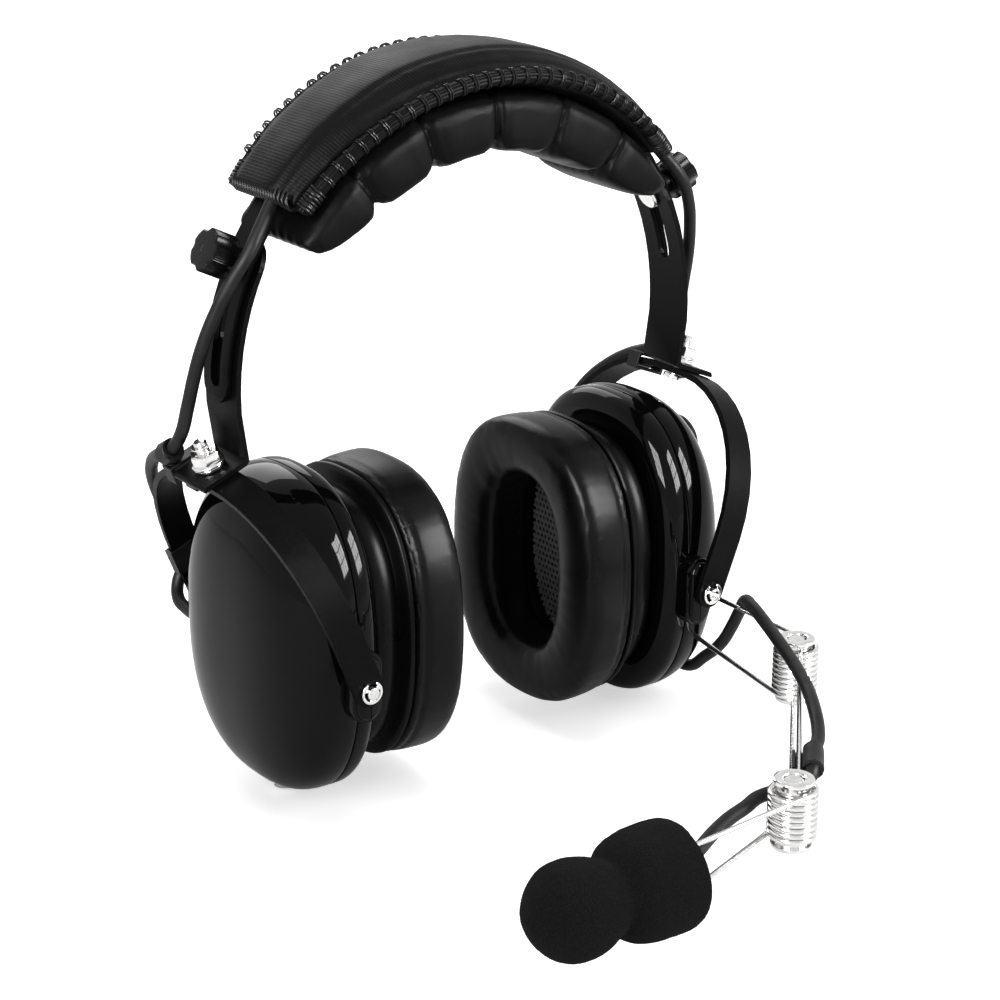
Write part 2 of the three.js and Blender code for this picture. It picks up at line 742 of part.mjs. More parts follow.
// both pivot bosses of one shell part, reaching from inside the wall to their faces
function bosses(x0, x1) {
  const r = bossWidth / 2;
  const outline = new THREE.Shape();
  outline.absarc(bossX, bossTop - r, r, 0, Math.PI, false);
  outline.absarc(bossX, bossBottom + r, r, Math.PI, 2 * Math.PI, false);
  const points = outline.getPoints(5).map((p) => [p.x, p.y]);
  const keep = new THREE.BoxGeometry(x1 - x0, 200, 60).translate((x0 + x1) / 2, 0, 0);
  const inside = shellDepth - shellWall;
  return [[-bossFace, -inside], [inside, bossFace]].map(([y0, y1]) => common(slabXZ(points, y0, y1), keep));
}

const pinHoles = [-1, 1].map((s) => rodY(pivotX, 0,
  s < 0 ? -bossFace - 1 : bossFace - 7, s < 0 ? -bossFace + 7 : bossFace + 1, pinRadius + clear, 12));

const splitGap = clear / 2;
function shell() {
  const x0 = seamX + splitGap;
  const outer = domeRings(0, x0, 6);
  const inner = domeRings(shellWall, x0, 4).reverse();
  return ovalPiece([...outer, ...inner], cupSides, true);
}

// hollow of the shell base where it closes in: station along X and distance inside the outline
const roundedInside = [[baseX + plateThick, 7.8], [baseX + 5.4, shellWall]];
function shellBase() {
  const x1 = seamX - splitGap;
  const d = shellDepth;
  const h = shellHeight;
  const w = shellWall;
  return ovalPiece([
    [x1, d, h], [baseX + 4.2, d - 0.8, h - 0.9], [baseX + 1.6, d - 3.2, h - 3.4], [baseX, d - 7.0, h - 7.3],
    [baseX, holeDepth + 3, holeHeight + 3], [baseX + plateThick, holeDepth + 3, holeHeight + 3],
    ...roundedInside.map(([x, off]) => [x, d - off, h - off]), [x1, d - w, h - w],
  ], cupSides, true);
}

// the volume shaft stands square on the dome
const domeSurfaceX = (z) => seamX + splitGap
  + domeOut * (1 - (Math.abs(z - cupAbovePivots) / shellHeight) ** domePower) ** (1 / domePower);
const volumeBase = domeSurfaceX(volumeZ);
const volumeDir = [0.985, 0.03, 0.17];

// a point by the second link: so far from the first hinge, so far to its side
const linkLength = Math.hypot(hinge2[0] - hinge1[0], hinge2[1] - hinge1[1]);
const linkAlong = [(hinge2[0] - hinge1[0]) / linkLength, (hinge2[1] - hinge1[1]) / linkLength];
function byLink(along, side, z) {
  return [hinge1[0] + linkAlong[0] * along - linkAlong[1] * side,
    hinge1[1] + linkAlong[1] * along + linkAlong[0] * side, z];
}

// the microphone cable: out of the cup, up outboard of the wires and over the first hinge,
// along the second link and round the second hinge into the microphone
const micZ = (boomTop + boomLow) / 2;
const micCable = [
  [77.5, -2.5, -23.5],
  [78.2, -6.0, -31.0],
  [79.4, -11.8, -37.2],
  [79.6, -19.5, -38.0],
  [78.6, -29.0, -31.3],
  [77.6, -38.0, -23.1],
  [77.2, -43.4, -15.0],
  [76.8, -46.8, -9.0],
  [74.6, -51.6, -3.2],
  [70.4, -59.5, -1.4],
  [63.6, -74.0, -1.2],
  [56.9, -87.2, -1.0],
  [52.5, -96.5, -1.4],
  [47.3, -106.0, -1.4],
  [41.2, -116.4, -1.6],
  [33.1, -128.5, -3.0],
  [29.4, -133.4, -4.2],
  [24.4, -138.6, -5.0],
  byLink(73.5, clipSide, boomTop),
  byLink(80.0, clipSide, boomTop),
  byLink(86.0, clipSide - 0.1, boomTop),
  [8.7, -151.6, -7.4],
  [6.0, -148.4, -10.3],
  [1.8, -146.0, -11.2],
  [-4.0, -145.8, -11.2],
  [-11.0, -148.3, -11.2],
  [-19.0, -150.6, -11.3],
  [-28.0, -154.0, -11.9],
  [-37.0, -158.2, -12.5],
  [bellX + 4.0, micAxisY + 3.0, micZ],
  [bellX - 2.6, micAxisY + 3.0, micZ],
];
const micCableSteps = 42;
const micCableHole = cable(micCable, micCableSteps, cableRadius + clear);
const volumeHole = aim(new THREE.CylinderGeometry(3.6, 3.6, 16, 16),
  [volumeBase, volumeY, volumeZ], volumeDir);

const rawShell = join(shell(), ...bosses(seamX + splitGap, 80));
const rawBase = join(shellBase(), ...bosses(50, seamX - splitGap));
const domeInside = ovalPiece([...domeRings(shellWall, seamX + splitGap - 0.02, 4)], cupSides, false);
const baseInside = ovalPiece([
  ...roundedInside.map(([x, off]) => [x, shellDepth - off, shellHeight - off]),
  [seamX + 1, shellDepth - shellWall, shellHeight - shellWall]], cupSides, false);
const plainShell = cut(rawShell, domeInside, ...pinHoles, sideCableHole);
piece('right_shell', mirrored(plainShell), glossBlack());
const wireHoles = rootRuns.map((run) => tube(run, wire / 2 + clear, 8));
piece('left_shell', cut(plainShell, ...wireHoles, volumeHole, micCableHole), glossBlack());
pair('shell_base', cut(rawBase, baseInside, ...pinHoles), glossBlack);

// ---------------------------------------------------------------- pivot pins and clips
for (const [word, s] of [['front', -1], ['rear', 1]]) {
  const y0 = bossFace - 6.6;
  const pin = turned([
    [0, y0], [pinRadius, y0], [pinRadius, pinEnd - 0.4], [pinRadius - 0.4, pinEnd], [0, pinEnd]], 12);
  pair(`${word}_pin`, aim(pin, [pivotX, 0, 0], [0, s, 0]), chrome);
  const c0 = armOuter + clear;
  const ring = turned([
    [pinRadius + 0.2, c0], [clipRadius, c0], [clipRadius, c0 + clipThick - 0.3],
    [clipRadius - 0.5, c0 + clipThick], [pinRadius + 0.2, c0 + clipThick + 0.3], [pinRadius + 0.2, c0]], 12);
  const gap = new THREE.BoxGeometry(1.6, 4, 4).translate(0, c0 + 0.5, clipRadius);
  pair(`${word}_clip`, aim(cut(ring, gap), [pivotX, 0, 0], [0, s, 0]), chrome);
}

// ---------------------------------------------------------------- ear seal side of the cup
const ringOut = baseX - clear;
function sealRing() {
  return ovalPiece([
    [ringOut, sealDepth - 8.6, sealHeight - 8.9], [ringOut - 1.6, sealDepth - 6.4, sealHeight - 6.6],
    [ringOut - 5.0, sealDepth - 5.2, sealHeight - 5.4], [ringIn + 3.0, sealDepth - 5.6, sealHeight - 5.8],
    [ringIn + 1.6, sealDepth - 1.5, sealHeight - 1.6], [ringIn, sealDepth - 2.2, sealHeight - 2.3],
    [ringIn, holeDepth + 5, holeHeight + 5],
    [ringOut, holeDepth + 5, holeHeight + 5],
  ], cupSides, true);
}
pair('seal_ring', sealRing(), satinBlack);

// the ear cushion: crowned face, sides drawn in toward the ring, rounded ear opening
function seal() {
  const d = sealDepth;
  const h = sealHeight;
  const hd = holeDepth;
  const hh = holeHeight;
  const b = sealBackX;
  const f = sealFaceX;
  return ovalPiece([
    [b, d - 2.0, h - 2.1], [b - 2.2, d - 0.8, h - 0.9], [b - 6.5, d - 0.2, h - 0.2], [f + 5.0, d, h],
    [f + 1.6, d - 1.2, h - 1.3], [f + 0.4, d - 3.6, h - 3.7], [f, d - 6.4, h - 6.6],
    [f, hd + 6.4, hh + 6.6], [f + 1.0, hd + 3.2, hh + 3.4], [f + 3.8, hd + 0.5, hh + 0.6],
    [b - 6, hd + 0.2, hh + 0.3], [b, hd + 3.2, hh + 3.4],
  ], cupSides, true);
}
pair('seal', seal(), leatherBlack);

function linerAndGrille() {
  const grilleX = sealBackX + 3.0;
  const plate = ovalPiece([
    [grilleX, holeDepth + 4.6, holeHeight + 4.6], [grilleX + 1.4, holeDepth + 4.6, holeHeight + 4.6]], 20, false);
  const holes = [];
  const stepY = 12.0;
  const stepZ = 12.0;
  for (let row = -2; row <= 2; row++) {
    const shift = row % 2 === 0 ? 0 : stepY / 2;
    for (let col = -1; col <= 1; col++) {
      const y = col * stepY + shift;
      const z = row * stepZ;
      const out = Math.abs(y / (holeDepth - 1)) ** 2 + Math.abs(z / (holeHeight - 1)) ** 2;
      if (out > 1) continue;
      holes.push(new THREE.CylinderGeometry(2.8, 2.8, 6, 6).rotateZ(Math.PI / 2)
        .translate(grilleX, y, cupAbovePivots + z));
    }
  }
  const liner = ovalPiece([
    [grilleX + 1.4 + clear, holeDepth + 2.4, holeHeight + 2.4],
    [baseX + plateThick + 5, holeDepth + 2.4, holeHeight + 2.4],
  ], 20, false);
  const pocket = aim(new THREE.CylinderGeometry(12.3, 12.3, 12, 18),
    [baseX + plateThick + 5, 0, cupAbovePivots], [1, 0, 0]);
  return [cut(plate, ...holes), cut(liner, pocket)];
}
const [grille, liner] = linerAndGrille();
pair('grille', grille, satinBlack);
pair('foam_liner', liner, foamBlack);

function speaker() {
  const x0 = baseX + plateThick + 5 - 6 + clear;
  return aim(turned([
    [0, 0], [11.5, 0], [12.0, 0.5], [12.0, 3.4], [8.4, 4.2], [8.4, 8.0], [0, 8.0]], 12),
  [x0, 0, cupAbovePivots], [1, 0, 0]);
}
pair('speaker', speaker(), satinBlack);

// ---------------------------------------------------------------- volume control, cord gland
const volumeSeat = 1.5;
function volumeKnob() {
  const r = volumeRadius;
  const h = volumeSeat + volumeHeight;
  return aim(turned([
    [1.9, volumeSeat], [r, volumeSeat], [r, h - 1.2], [r - 1.2, h], [0, h], [0, h - 2], [1.9, h - 2], [1.9, volumeSeat]],
  18), [volumeBase, volumeY, volumeZ], volumeDir);
}
piece('volume_knob', volumeKnob(), satinBlack());
function volumePot() {
  const top = volumeSeat + volumeHeight - 2 - clear;
  return aim(turned([
    [0, -11], [6.2, -11], [6.2, -4.2], [3.2, -4.2], [3.2, 0.6], [1.6, 0.6], [1.6, top], [0, top]], 12),
  [volumeBase, volumeY, volumeZ], volumeDir);
}
piece('volume_pot', volumePot(), chrome());

const glandAt = [66.0, 0, cupAbovePivots - shellHeight * 0.985];
function cordGland() {
  return aim(turned([
    [0, 0.9], [2.2, 0.9], [glandRadius, 1.4], [glandRadius, 3.0], [2.4, 3.6], [0, 3.6]], 14),
  glandAt, [0.1, 0, -1]);
}
piece('right_cord_gland', mirrored(cordGland()), chrome());

// ---------------------------------------------------------------- wire boom
// the first link: one wire from the root round the first post and back, held in a block
function link1() {
  const block = new THREE.BoxGeometry(5, 3.6, boomTop - boomLow + 6)
    .translate(boomRootX - 0.6, boomRootY + 1, (boomTop + boomLow) / 2);
  return join(block, wireTube([rootRuns[0][0], ...coil1, rootRuns[1][0]]));
}
piece('boom_link_1', link1(), chrome());

// the second link: a flanged post at each end and two straight wires between them
const stubRadius = 2.7;
const postTop = boomTop + wire / 2 + clear;
function link2() {
  const low = boomLow - wire / 2 - clear;
  const r = capRadius;
  const shank = coilRadius * Math.cos(Math.PI / coilSteps) - wire / 2 - clear;
  const posts = [hinge1, hinge2].map(([x, y]) => aim(turned([
    [0, low - capThick], [r - 0.4, low - capThick], [r, low - capThick + 0.4], [r, low], [shank, low],
    [shank, postTop], [stubRadius, postTop], [stubRadius, postTop + clear + capThick - 0.5],
    [0, postTop + clear + capThick - 0.5]], 12), [x, y, 0], [0, 0, 1]));
  const inside = shank - 2;
  const wires = [[upperWireOff, boomTop], [lowerWireOff, boomLow]].map(([side, z]) => wireTube(
    [byLink(inside, side, z), byLink(linkLength - inside, side, z)]));
  return join(...posts, ...wires);
}
piece('boom_link_2', link2(), chrome());

const micEnd = [bellX - 6, micAxisY - 1.0];
const micWireSpread = 2.9;      // each wire of the last link, above and below the middle
const coil2 = coil(hinge2, micEnd, 1);
piece('boom_link_3', wireTube([
  [micEnd[0], micEnd[1], micZ + micWireSpread], [micEnd[0] + 8, micEnd[1], micZ + micWireSpread],
  ...coil2,
  [micEnd[0] + 8, micEnd[1], micZ - micWireSpread], [micEnd[0], micEnd[1], micZ - micWireSpread],
]), chrome());
console.log('least gap in boom coil 1:', leastGap(coil1).toFixed(2), 'mm');
console.log('least gap in boom coil 2:', leastGap(coil2).toFixed(2), 'mm');

// a pressed ring on the stub of each post
function boomCap([x, y]) {
  const bore = stubRadius + clear;
  const [base, r] = [postTop + clear, capRadius];
  return aim(turned([
    [bore, base], [r, base], [r, base + capThick - 0.4], [r - 0.4, base + capThick],
    [bore, base + capThick], [bore, base]], 12), [x, y, 0], [0, 0, 1]);
}
piece('boom_cap_1', boomCap(hinge1), chrome());
piece('boom_cap_2', boomCap(hinge2), chrome());

// a short tube for the cable, hooked under the upper wire of the second link
function boomCableClip() {
  const [from, to] = [74.5, 86.5];
  const mid = (from + to) / 2;
  const radius = cableRadius + clear + 0.8;
  const dir = [...linkAlong, 0];
  const ring = aim(new THREE.CylinderGeometry(radius, radius, to - from, 12), byLink(mid, clipSide, boomTop), dir);
  const hookWidth = clipSide - upperWireOff + wire / 2 + clear + 0.8;
  const hook = aim(new THREE.BoxGeometry(hookWidth, to - from - 1, 2.6),
    [0, 0, 0], dir).translate(...byLink(mid, clipSide - hookWidth / 2, boomTop - 1.1));
  return cut(join(ring, hook), tube([byLink(from - 2, upperWireOff, boomTop), byLink(to + 2, upperWireOff, boomTop)],
    wire / 2 + clear, 10), micCableHole);
}
piece('boom_cable_clip', boomCableClip(), rubberBlack());
piece('mic_cable', cable(micCable, micCableSteps), rubberBlack());

// ---------------------------------------------------------------- microphone
const housingRear = bellX + 1.2;
function micHousing() {
  const body = new THREE.CylinderGeometry(micHousingRadius, micHousingRadius, micHousingLength, 16)
    .translate(0, micHousingLength / 2, 0);
  const placed = aim(body, [housingRear, micAxisY, micZ], [-1, 0, 0]);
  const bores = [-1, 1].map((side) => new THREE.CylinderGeometry(
    wire / 2 + clear, wire / 2 + clear, 12, 10).rotateZ(Math.PI / 2)
    .translate(micEnd[0] - clear + 6, micEnd[1], micZ + side * micWireSpread));
  const port = new THREE.CylinderGeometry(2.2, 2.2, 6, 16).rotateZ(Math.PI / 2)
    .translate(housingRear - micHousingLength, micAxisY, micZ);
  return cut(placed, ...bores, micCableHole, port);
}
piece('mic_housing', micHousing(), satinBlack());

function micMuff() {
  const end = bellX - ballX;
  const b = bellRadius;
  const r = ballRadius;
  const outer = [
    [0, 0], [b - 3.2, 0], [b - 0.9, 1.2], [b, 4.5], [b - 0.5, 11], [b - 1.8, 16.5],
    [b - 4.2, 19.8], [r - 3.6, end - 12.0], [r - 2.6, end - 10.4], [r - 0.9, end - 5.6], [r, end]];
  const ballSteps = 6;
  for (let i = 1; i <= ballSteps; i++) {
    const a = (i / ballSteps) * (Math.PI / 2);
    outer.push([i === ballSteps ? 0 : r * Math.cos(a), end + r * Math.sin(a)]);
  }
  const bore = micHousingRadius + clear;
  const depth = micHousingLength - (housingRear - bellX) + clear;
  const hole = new THREE.CylinderGeometry(bore / Math.cos(Math.PI / 16), bore / Math.cos(Math.PI / 16), depth + 2, 16)
    .translate(0, depth / 2 - 1, 0);
  return aim(cut(turned(outer, 16), hole), [bellX, micAxisY, micZ], [-1, 0, 0]);
}
piece('mic_muff', micMuff(), foamBlack());

// ---------------------------------------------------------------- head band cover and pad
// how far along the band, from -1 at one end to 1 at the other
const alongCover = (degrees) => (degrees - 90) / (90 - coverEndAngle);
const pipingY = (degrees) => coverHalfMid - (coverHalfMid - coverHalfEnd) * Math.abs(alongCover(degrees)) ** 2.2;

// a ring of [y, radius] points on the arc at an angle
function bandRing(points, degrees) {
  return points.map(([y, r]) => {
    const [x, z] = onArc(r, degrees);
    return [x, y, z];
  });
}

function bandCover() {
  const top = bandRadius + coverTop;
  const under = bandRadius - coverUnder;
  const rings = [];
  const steps = 16;
  for (let i = 0; i <= steps; i++) {
    const degrees = coverEndAngle + ((180 - 2 * coverEndAngle) * i) / steps;
    const w = pipingY(degrees) - pipingRadius - clear;
    rings.push(bandRing([
      [-w + 1.0, under + 0.6], [-w, under + 2.4], [-w + 0.4, bandRadius + 2.0],
      [-0.72 * w, top - 1.9], [-0.5 * w, top - 0.4], [-0.3 * w, top], [0.3 * w, top],
      [0.8 * w, top - 0.4], [w - 0.6, top - 1.8], [w, top - 4], [w, under + 2.4],
      [w - 1.0, under + 0.6], [0.5 * w, under], [-0.5 * w, under],
    ], degrees));
  }
  const shell = skin(rings, false);
  const beyond = 4;
  const springLow = facet * Math.floor((coverEndAngle - beyond) / facet);
  const spring = arcBar(bandIn - clear, bandOut + clear, springLow, 180 - springLow,
    bandWidth + 2 * clear, (180 - 2 * springLow) / facet);
  const pocketAngle = sliderTopAngle + sliderWidth / 2 / sliderRadius / rad + slideTravel + 1;
  const pocket = arcBar(sliderIn - runClear, bandOut + clear, coverEndAngle - beyond, pocketAngle,
    sliderWidth + 2 * runClear, 4);
  const groove = cable(
    [hiddenRun[0], ...hiddenRun, hiddenRun[12]].map(([x, y, z], i, list) => (
      i === 0 || i === list.length - 1 ? [x * 1.04, y, z - 4] : [x, y, z])), 15, cableRadius + clear + 0.15);
  return cut(shell, spring, pocket, mirrored(pocket), groove);
}
piece('band_cover', bandCover(), leatherBlack());

for (const [word, side, level] of [['front', -1, 0], ['rear', 1, 2.0]]) {
  const points = [];
  for (let i = 0; i <= 12; i++) {
    const degrees = coverEndAngle + ((180 - 2 * coverEndAngle) * i) / 12;
    const [x, z] = onArc(bandRadius + level, degrees);
    points.push([x, side * pipingY(degrees), z]);
  }
  piece(`${word}_piping`, cable(points, 18, pipingRadius), leatherBlack());
}

// six puffed cells across the band, parted by sewn channels
function headPad() {
  const back = bandRadius - coverUnder - runClear;
  const rings = [];
  const stations = [0, 0.1, 0.34, 0.66, 0.9];
  const span = (180 - 2 * padEndAngle) / padCells;
  const sides = 12;
  for (let cell = 0; cell <= padCells; cell++) {
    for (const t of cell === padCells ? [0] : stations) {
      const degrees = padEndAngle + span * (cell + t);
      const along = Math.abs(degrees - 90) / (90 - padEndAngle);
      const puff = Math.sqrt(1 - Math.abs(2 * t - 1) ** 4);
      const inner = padInner + padEndRise * along ** 6 + padChannel * (1 - puff);
      const half = padHalf - 2 * along - 2.4 * (1 - puff);
      const [mid, thick] = [(back + inner) / 2, (back - inner) / 2];
      const ring = [];
      for (let k = 0; k < sides; k++) {
        const a = (2 * Math.PI * (k + 0.5)) / sides;
        const [c, q] = [Math.cos(a), Math.sin(a)];
        const bend = 0.4;
        ring.push([half * Math.sign(c) * Math.abs(c) ** bend, mid + thick * Math.sign(q) * Math.abs(q) ** bend]);
      }
      rings.push(bandRing(ring, degrees));
    }
  }
  return skin(rings, false);
}
piece('head_pad', headPad(), leatherBlack());

export default headset;
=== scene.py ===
# %% [markdown]
# # Aviation headset
# The imported parts are the fixed frame of this lesson: every piece made below sits where a part
# already is, in metres, with the origin at the crown of the head, +Z up and the wearer facing -Y.
# The first cell loads that frame and keeps its size, which later sets the level of the floor.

# %% Load the frame
import json
import math

import bmesh
import bpy
from mathutils import Matrix, Vector, geometry, noise


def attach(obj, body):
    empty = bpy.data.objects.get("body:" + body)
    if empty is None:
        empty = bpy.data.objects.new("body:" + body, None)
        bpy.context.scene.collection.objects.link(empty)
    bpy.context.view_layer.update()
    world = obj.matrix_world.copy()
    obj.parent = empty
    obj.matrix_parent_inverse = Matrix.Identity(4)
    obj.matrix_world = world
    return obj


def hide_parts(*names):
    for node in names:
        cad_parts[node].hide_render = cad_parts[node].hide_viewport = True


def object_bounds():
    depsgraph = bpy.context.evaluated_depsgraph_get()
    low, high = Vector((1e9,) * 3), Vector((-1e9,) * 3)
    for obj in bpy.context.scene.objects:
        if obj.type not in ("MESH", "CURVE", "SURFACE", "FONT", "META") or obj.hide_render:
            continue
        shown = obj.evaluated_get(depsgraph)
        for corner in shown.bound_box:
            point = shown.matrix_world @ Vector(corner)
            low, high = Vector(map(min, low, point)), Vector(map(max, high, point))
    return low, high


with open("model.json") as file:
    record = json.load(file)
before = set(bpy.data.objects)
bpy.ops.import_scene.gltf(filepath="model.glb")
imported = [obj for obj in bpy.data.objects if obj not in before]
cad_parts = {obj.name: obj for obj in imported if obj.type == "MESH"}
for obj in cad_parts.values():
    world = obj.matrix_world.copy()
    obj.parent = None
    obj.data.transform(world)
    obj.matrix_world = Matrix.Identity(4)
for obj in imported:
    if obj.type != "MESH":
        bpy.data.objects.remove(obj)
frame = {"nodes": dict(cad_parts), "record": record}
cad_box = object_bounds()
bodies = frame["record"]["behaviour"]["bodies"]
body_of_node = {node: body for body, nodes in bodies.items() for node in nodes}

# %% [markdown]
# ## Sizes that many pieces share
# The same named sizes as in the parts' source, in millimetres. Heights are counted from the
# pivots of the ear cups, because both cups, both yokes and the boom are built round that level.
# `at` turns such a point into metres in the frame. A name that ends in _R is a radius, _D a
# diameter, _T a thickness and _W a width.

# %% Shared sizes
MM = 0.001                      # metres in a millimetre
ARC = 81.6                      # centre of the head band's arc above the pivots
CROWN = ARC + 62.6              # crown of the head above the pivots
BAND_R, BAND_T = 85.4, 1.6      # spring: mid radius, thickness
CLEAR = 0.3                     # gap between neighbouring pieces
LEAN = math.radians(22)         # the yokes lean outboard
PIVOT_X, PIVOT_Y = 64.8, 45.4
YOKE_T, YOKE_W = 2.0, 9.8
FOOT = (81.2, 62.6)             # foot bend of each slider
FOOT_REACH, FOOT_HALF_T = 7.6, 0.8
CUP_Z = 5.4                     # middle of the cup's oval above the pivots
OVAL_POWER = 2.5
SIDES = {"left": 1, "right": -1}


def at(x, y, z):
    """A point in millimetres, its height counted from the pivots, in metres in the frame."""
    return Vector((x, y, z - CROWN)) * MM


def on_arc(radius, degrees, y=0.0):
    a = math.radians(degrees)
    return at(radius * math.cos(a), y, ARC + radius * math.sin(a))


YOKE_UP = Vector((math.sin(LEAN), 0, math.cos(LEAN)))
swivel_x = FOOT[0] + FOOT_REACH * math.cos(LEAN)
swivel_z = FOOT[1] - FOOT_REACH * math.sin(LEAN)
foot_level = (swivel_x - PIVOT_X) * math.sin(LEAN) + swivel_z * math.cos(LEAN)
SWIVEL_OFF = (swivel_x - PIVOT_X) * math.cos(LEAN) - swivel_z * math.sin(LEAN)
YOKE_TOP = foot_level - FOOT_HALF_T - CLEAR


def from_yoke(across, up, side):
    """A point given in the left yoke's own plane: across it, up along it, and out of it."""
    return at(PIVOT_X + up * math.sin(LEAN) + side * math.cos(LEAN), across,
              up * math.cos(LEAN) - side * math.sin(LEAN))


print("yoke top", round(YOKE_TOP, 2), "mm above the pivots, along the lean")

# %% [markdown]
# ## Camera
# The photograph is taken from the wearer's front right, a little above the cups. Its camera was
# worked out from points whose places are known on the parts, so it is set from three directions
# instead of angles: to the right, up, and back towards the camera.

# %% Camera at the photograph's place
def linked(name, data):
    """A new object that holds the data, in the scene."""
    obj = bpy.data.objects.new(name, data)
    bpy.context.scene.collection.objects.link(obj)
    return obj


CAMERA_AT, FOCAL_MM = (-450.34, -621.91, 311.99), 94.59
RIGHT = Vector((0.801498, -0.597959, 0.006726))
UP = Vector((0.200173, 0.278875, 0.939233))
BACK = Vector((-0.563499, -0.751448, 0.343214))
lens_camera = bpy.data.cameras.new("photo_camera")
lens_camera.sensor_width = 36.0
lens_camera.lens = FOCAL_MM
lens_camera.clip_start, lens_camera.clip_end = 0.02, 20
camera = linked("photo_camera", lens_camera)
basis = Matrix((RIGHT, UP, BACK)).transposed().to_4x4()
camera.matrix_world = Matrix.Translation(at(*CAMERA_AT)) @ basis
bpy.context.scene.camera = camera
print("camera at", [round(v, 3) for v in camera.location])

# %% [markdown]
# ## Cables
# Three runs of round rubber cable show: one on each side, from the end of the band's cover down
# to the cup, and the lead of the microphone. A curve with automatic handles is the simplest
# model of a cable that is held at both ends, because it is smooth through every point and keeps
# one thickness. The points repeat the route of the solids. The bevelled curve is then made into
# a mesh tube, and the points and length of its centreline are worked out beside it.

# %% Cable routes
CABLE_D, CABLE_STEPS = 4.0, 9    # thickness, pieces of centreline between two points
COVER_END = 39.2                # degrees above the arc centre
arm_cable = PIVOT_Y + YOKE_T / 2 + CLEAR + CABLE_D / 2 + 0.3
cover_exit = on_arc(BAND_R + BAND_T / 2 + CLEAR + CABLE_D / 2 + CLEAR, COVER_END, -6)
side_route = [cover_exit + Vector((0.0002, 0, -0.00025))] + [
    at(*p) for p in (
        (73.9, -7.8, 131.5), (79.4, -9.3, 124.2), (84.0, -7.4, 116.4), (87.7, -4.2, 107.0),
        (90.2, -0.9, 97.2), (91.5, 2.2, 87.6), (92.3, 5.0, 78.2), (92.8, 8.4, 69.2))
] + [from_yoke(*p) for p in (
    (15.5, YOKE_TOP + 4.5, 3.0), (21.6, YOKE_TOP + 1.7, 3.0), (28.0, YOKE_TOP - 1.3, 2.8),
    (35.8, YOKE_TOP - 7.2, 2.2), (42.3, YOKE_TOP - 15.2, 1.4), (46.2, YOKE_TOP - 25.3, 0.6),
    (48.9, YOKE_TOP - 36.6, 0.1), (arm_cable, YOKE_TOP - 43.0, 0),
    (arm_cable, YOKE_TOP - 48.5, 0.3), (arm_cable + 0.2, YOKE_TOP - 51.5, 1.8),
    (arm_cable - 0.2, YOKE_TOP - 55.6, 6.0), (arm_cable - 3.8, YOKE_TOP - 58.2, 9.1),
    (arm_cable - 9.5, YOKE_TOP - 59.4, 9.9), (arm_cable - 15.2, YOKE_TOP - 59.6, 10.2))]

HINGE_1, HINGE_2 = Vector((66.4, -84.4)), Vector((-0.5, -155.7))
BOOM_TOP, COIL_PITCH, COIL_TURNS, COIL_R, WIRE = -5.0, 2.07, 6, 6.3, 1.6
BOOM_LOW = BOOM_TOP - COIL_PITCH * (COIL_TURNS + 1.5)
MIC_Z, MIC_Y, BELL_X, BALL_X = (BOOM_TOP + BOOM_LOW) / 2, -163.4, -47.8, -82.6
link_along = (HINGE_2 - HINGE_1).normalized()
CLIP_SIDE = 5.25


def by_link(along, side, z):
    """A point beside the boom's middle link, so far from its first hinge."""
    p = HINGE_1 + link_along * along + Vector((-link_along.y, link_along.x)) * side
    return (p.x, p.y, z)


mic_route = [at(*p) for p in (
    (77.5, -2.5, -23.5), (78.2, -6.0, -31.0), (79.4, -11.8, -37.2), (79.6, -19.5, -38.0),
    (78.6, -29.0, -31.3), (77.6, -38.0, -23.1), (77.2, -43.4, -15.0), (76.8, -46.8, -9.0),
    (74.6, -51.6, -3.2), (70.4, -59.5, -1.4), (63.6, -74.0, -1.2), (56.9, -87.2, -1.0),
    (52.5, -96.5, -1.4), (47.3, -106.0, -1.4), (41.2, -116.4, -1.6), (33.1, -128.5, -3.0),
    (29.4, -133.4, -4.2), (24.4, -138.6, -5.0), by_link(73.5, CLIP_SIDE, BOOM_TOP),
    by_link(80.0, CLIP_SIDE, BOOM_TOP), by_link(86.0, CLIP_SIDE - 0.1, BOOM_TOP),
    (8.7, -151.6, -7.4), (6.0, -148.4, -10.3), (1.8, -146.0, -11.2), (-4.0, -145.8, -11.2),
    (-11.0, -148.3, -11.2), (-19.0, -150.6, -11.3), (-28.0, -154.0, -11.9),
    (-37.0, -158.2, -12.5), (BELL_X + 4.0, MIC_Y + 3.0, MIC_Z),
    (BELL_X - 2.6, MIC_Y + 3.0, MIC_Z))]


def only(obj):
    """Select one object and make it the active one."""
    bpy.ops.object.select_all(action="DESELECT")
    obj.select_set(True)
    bpy.context.view_layer.objects.active = obj


def tube(name, curve, radius_mm, roundness):
    """Give a curve its thickness and closed ends."""
    curve.bevel_depth = radius_mm * MM
    curve.bevel_resolution = roundness
    curve.use_fill_caps = True
    obj = linked(name, curve)
    only(obj)
    return obj


def lay_cable(name, route, radius_mm):
    """A round cable along a smooth curve through the route, its centreline and its length."""
    curve = bpy.data.curves.new(name, "CURVE")
    curve.dimensions = "3D"
    spline = curve.splines.new("BEZIER")
    spline.bezier_points.add(len(route) - 1)
    for point, place in zip(spline.bezier_points, route):
        point.co = place
        point.handle_left_type = point.handle_right_type = "AUTO"
    curve.resolution_u = curve.render_resolution_u = 6
    tube(name, curve, radius_mm, 5)
    bpy.context.view_layer.update()
    length, path = spline.calc_length(), []
    for here, ahead in zip(spline.bezier_points, spline.bezier_points[1:]):
        path += geometry.interpolate_bezier(here.co, here.handle_right, ahead.handle_left,
                                            ahead.co, CABLE_STEPS)[:-1]
    path.append(spline.bezier_points[-1].co.copy())
    bpy.ops.object.convert(target="MESH")
    return bpy.context.object, path, length


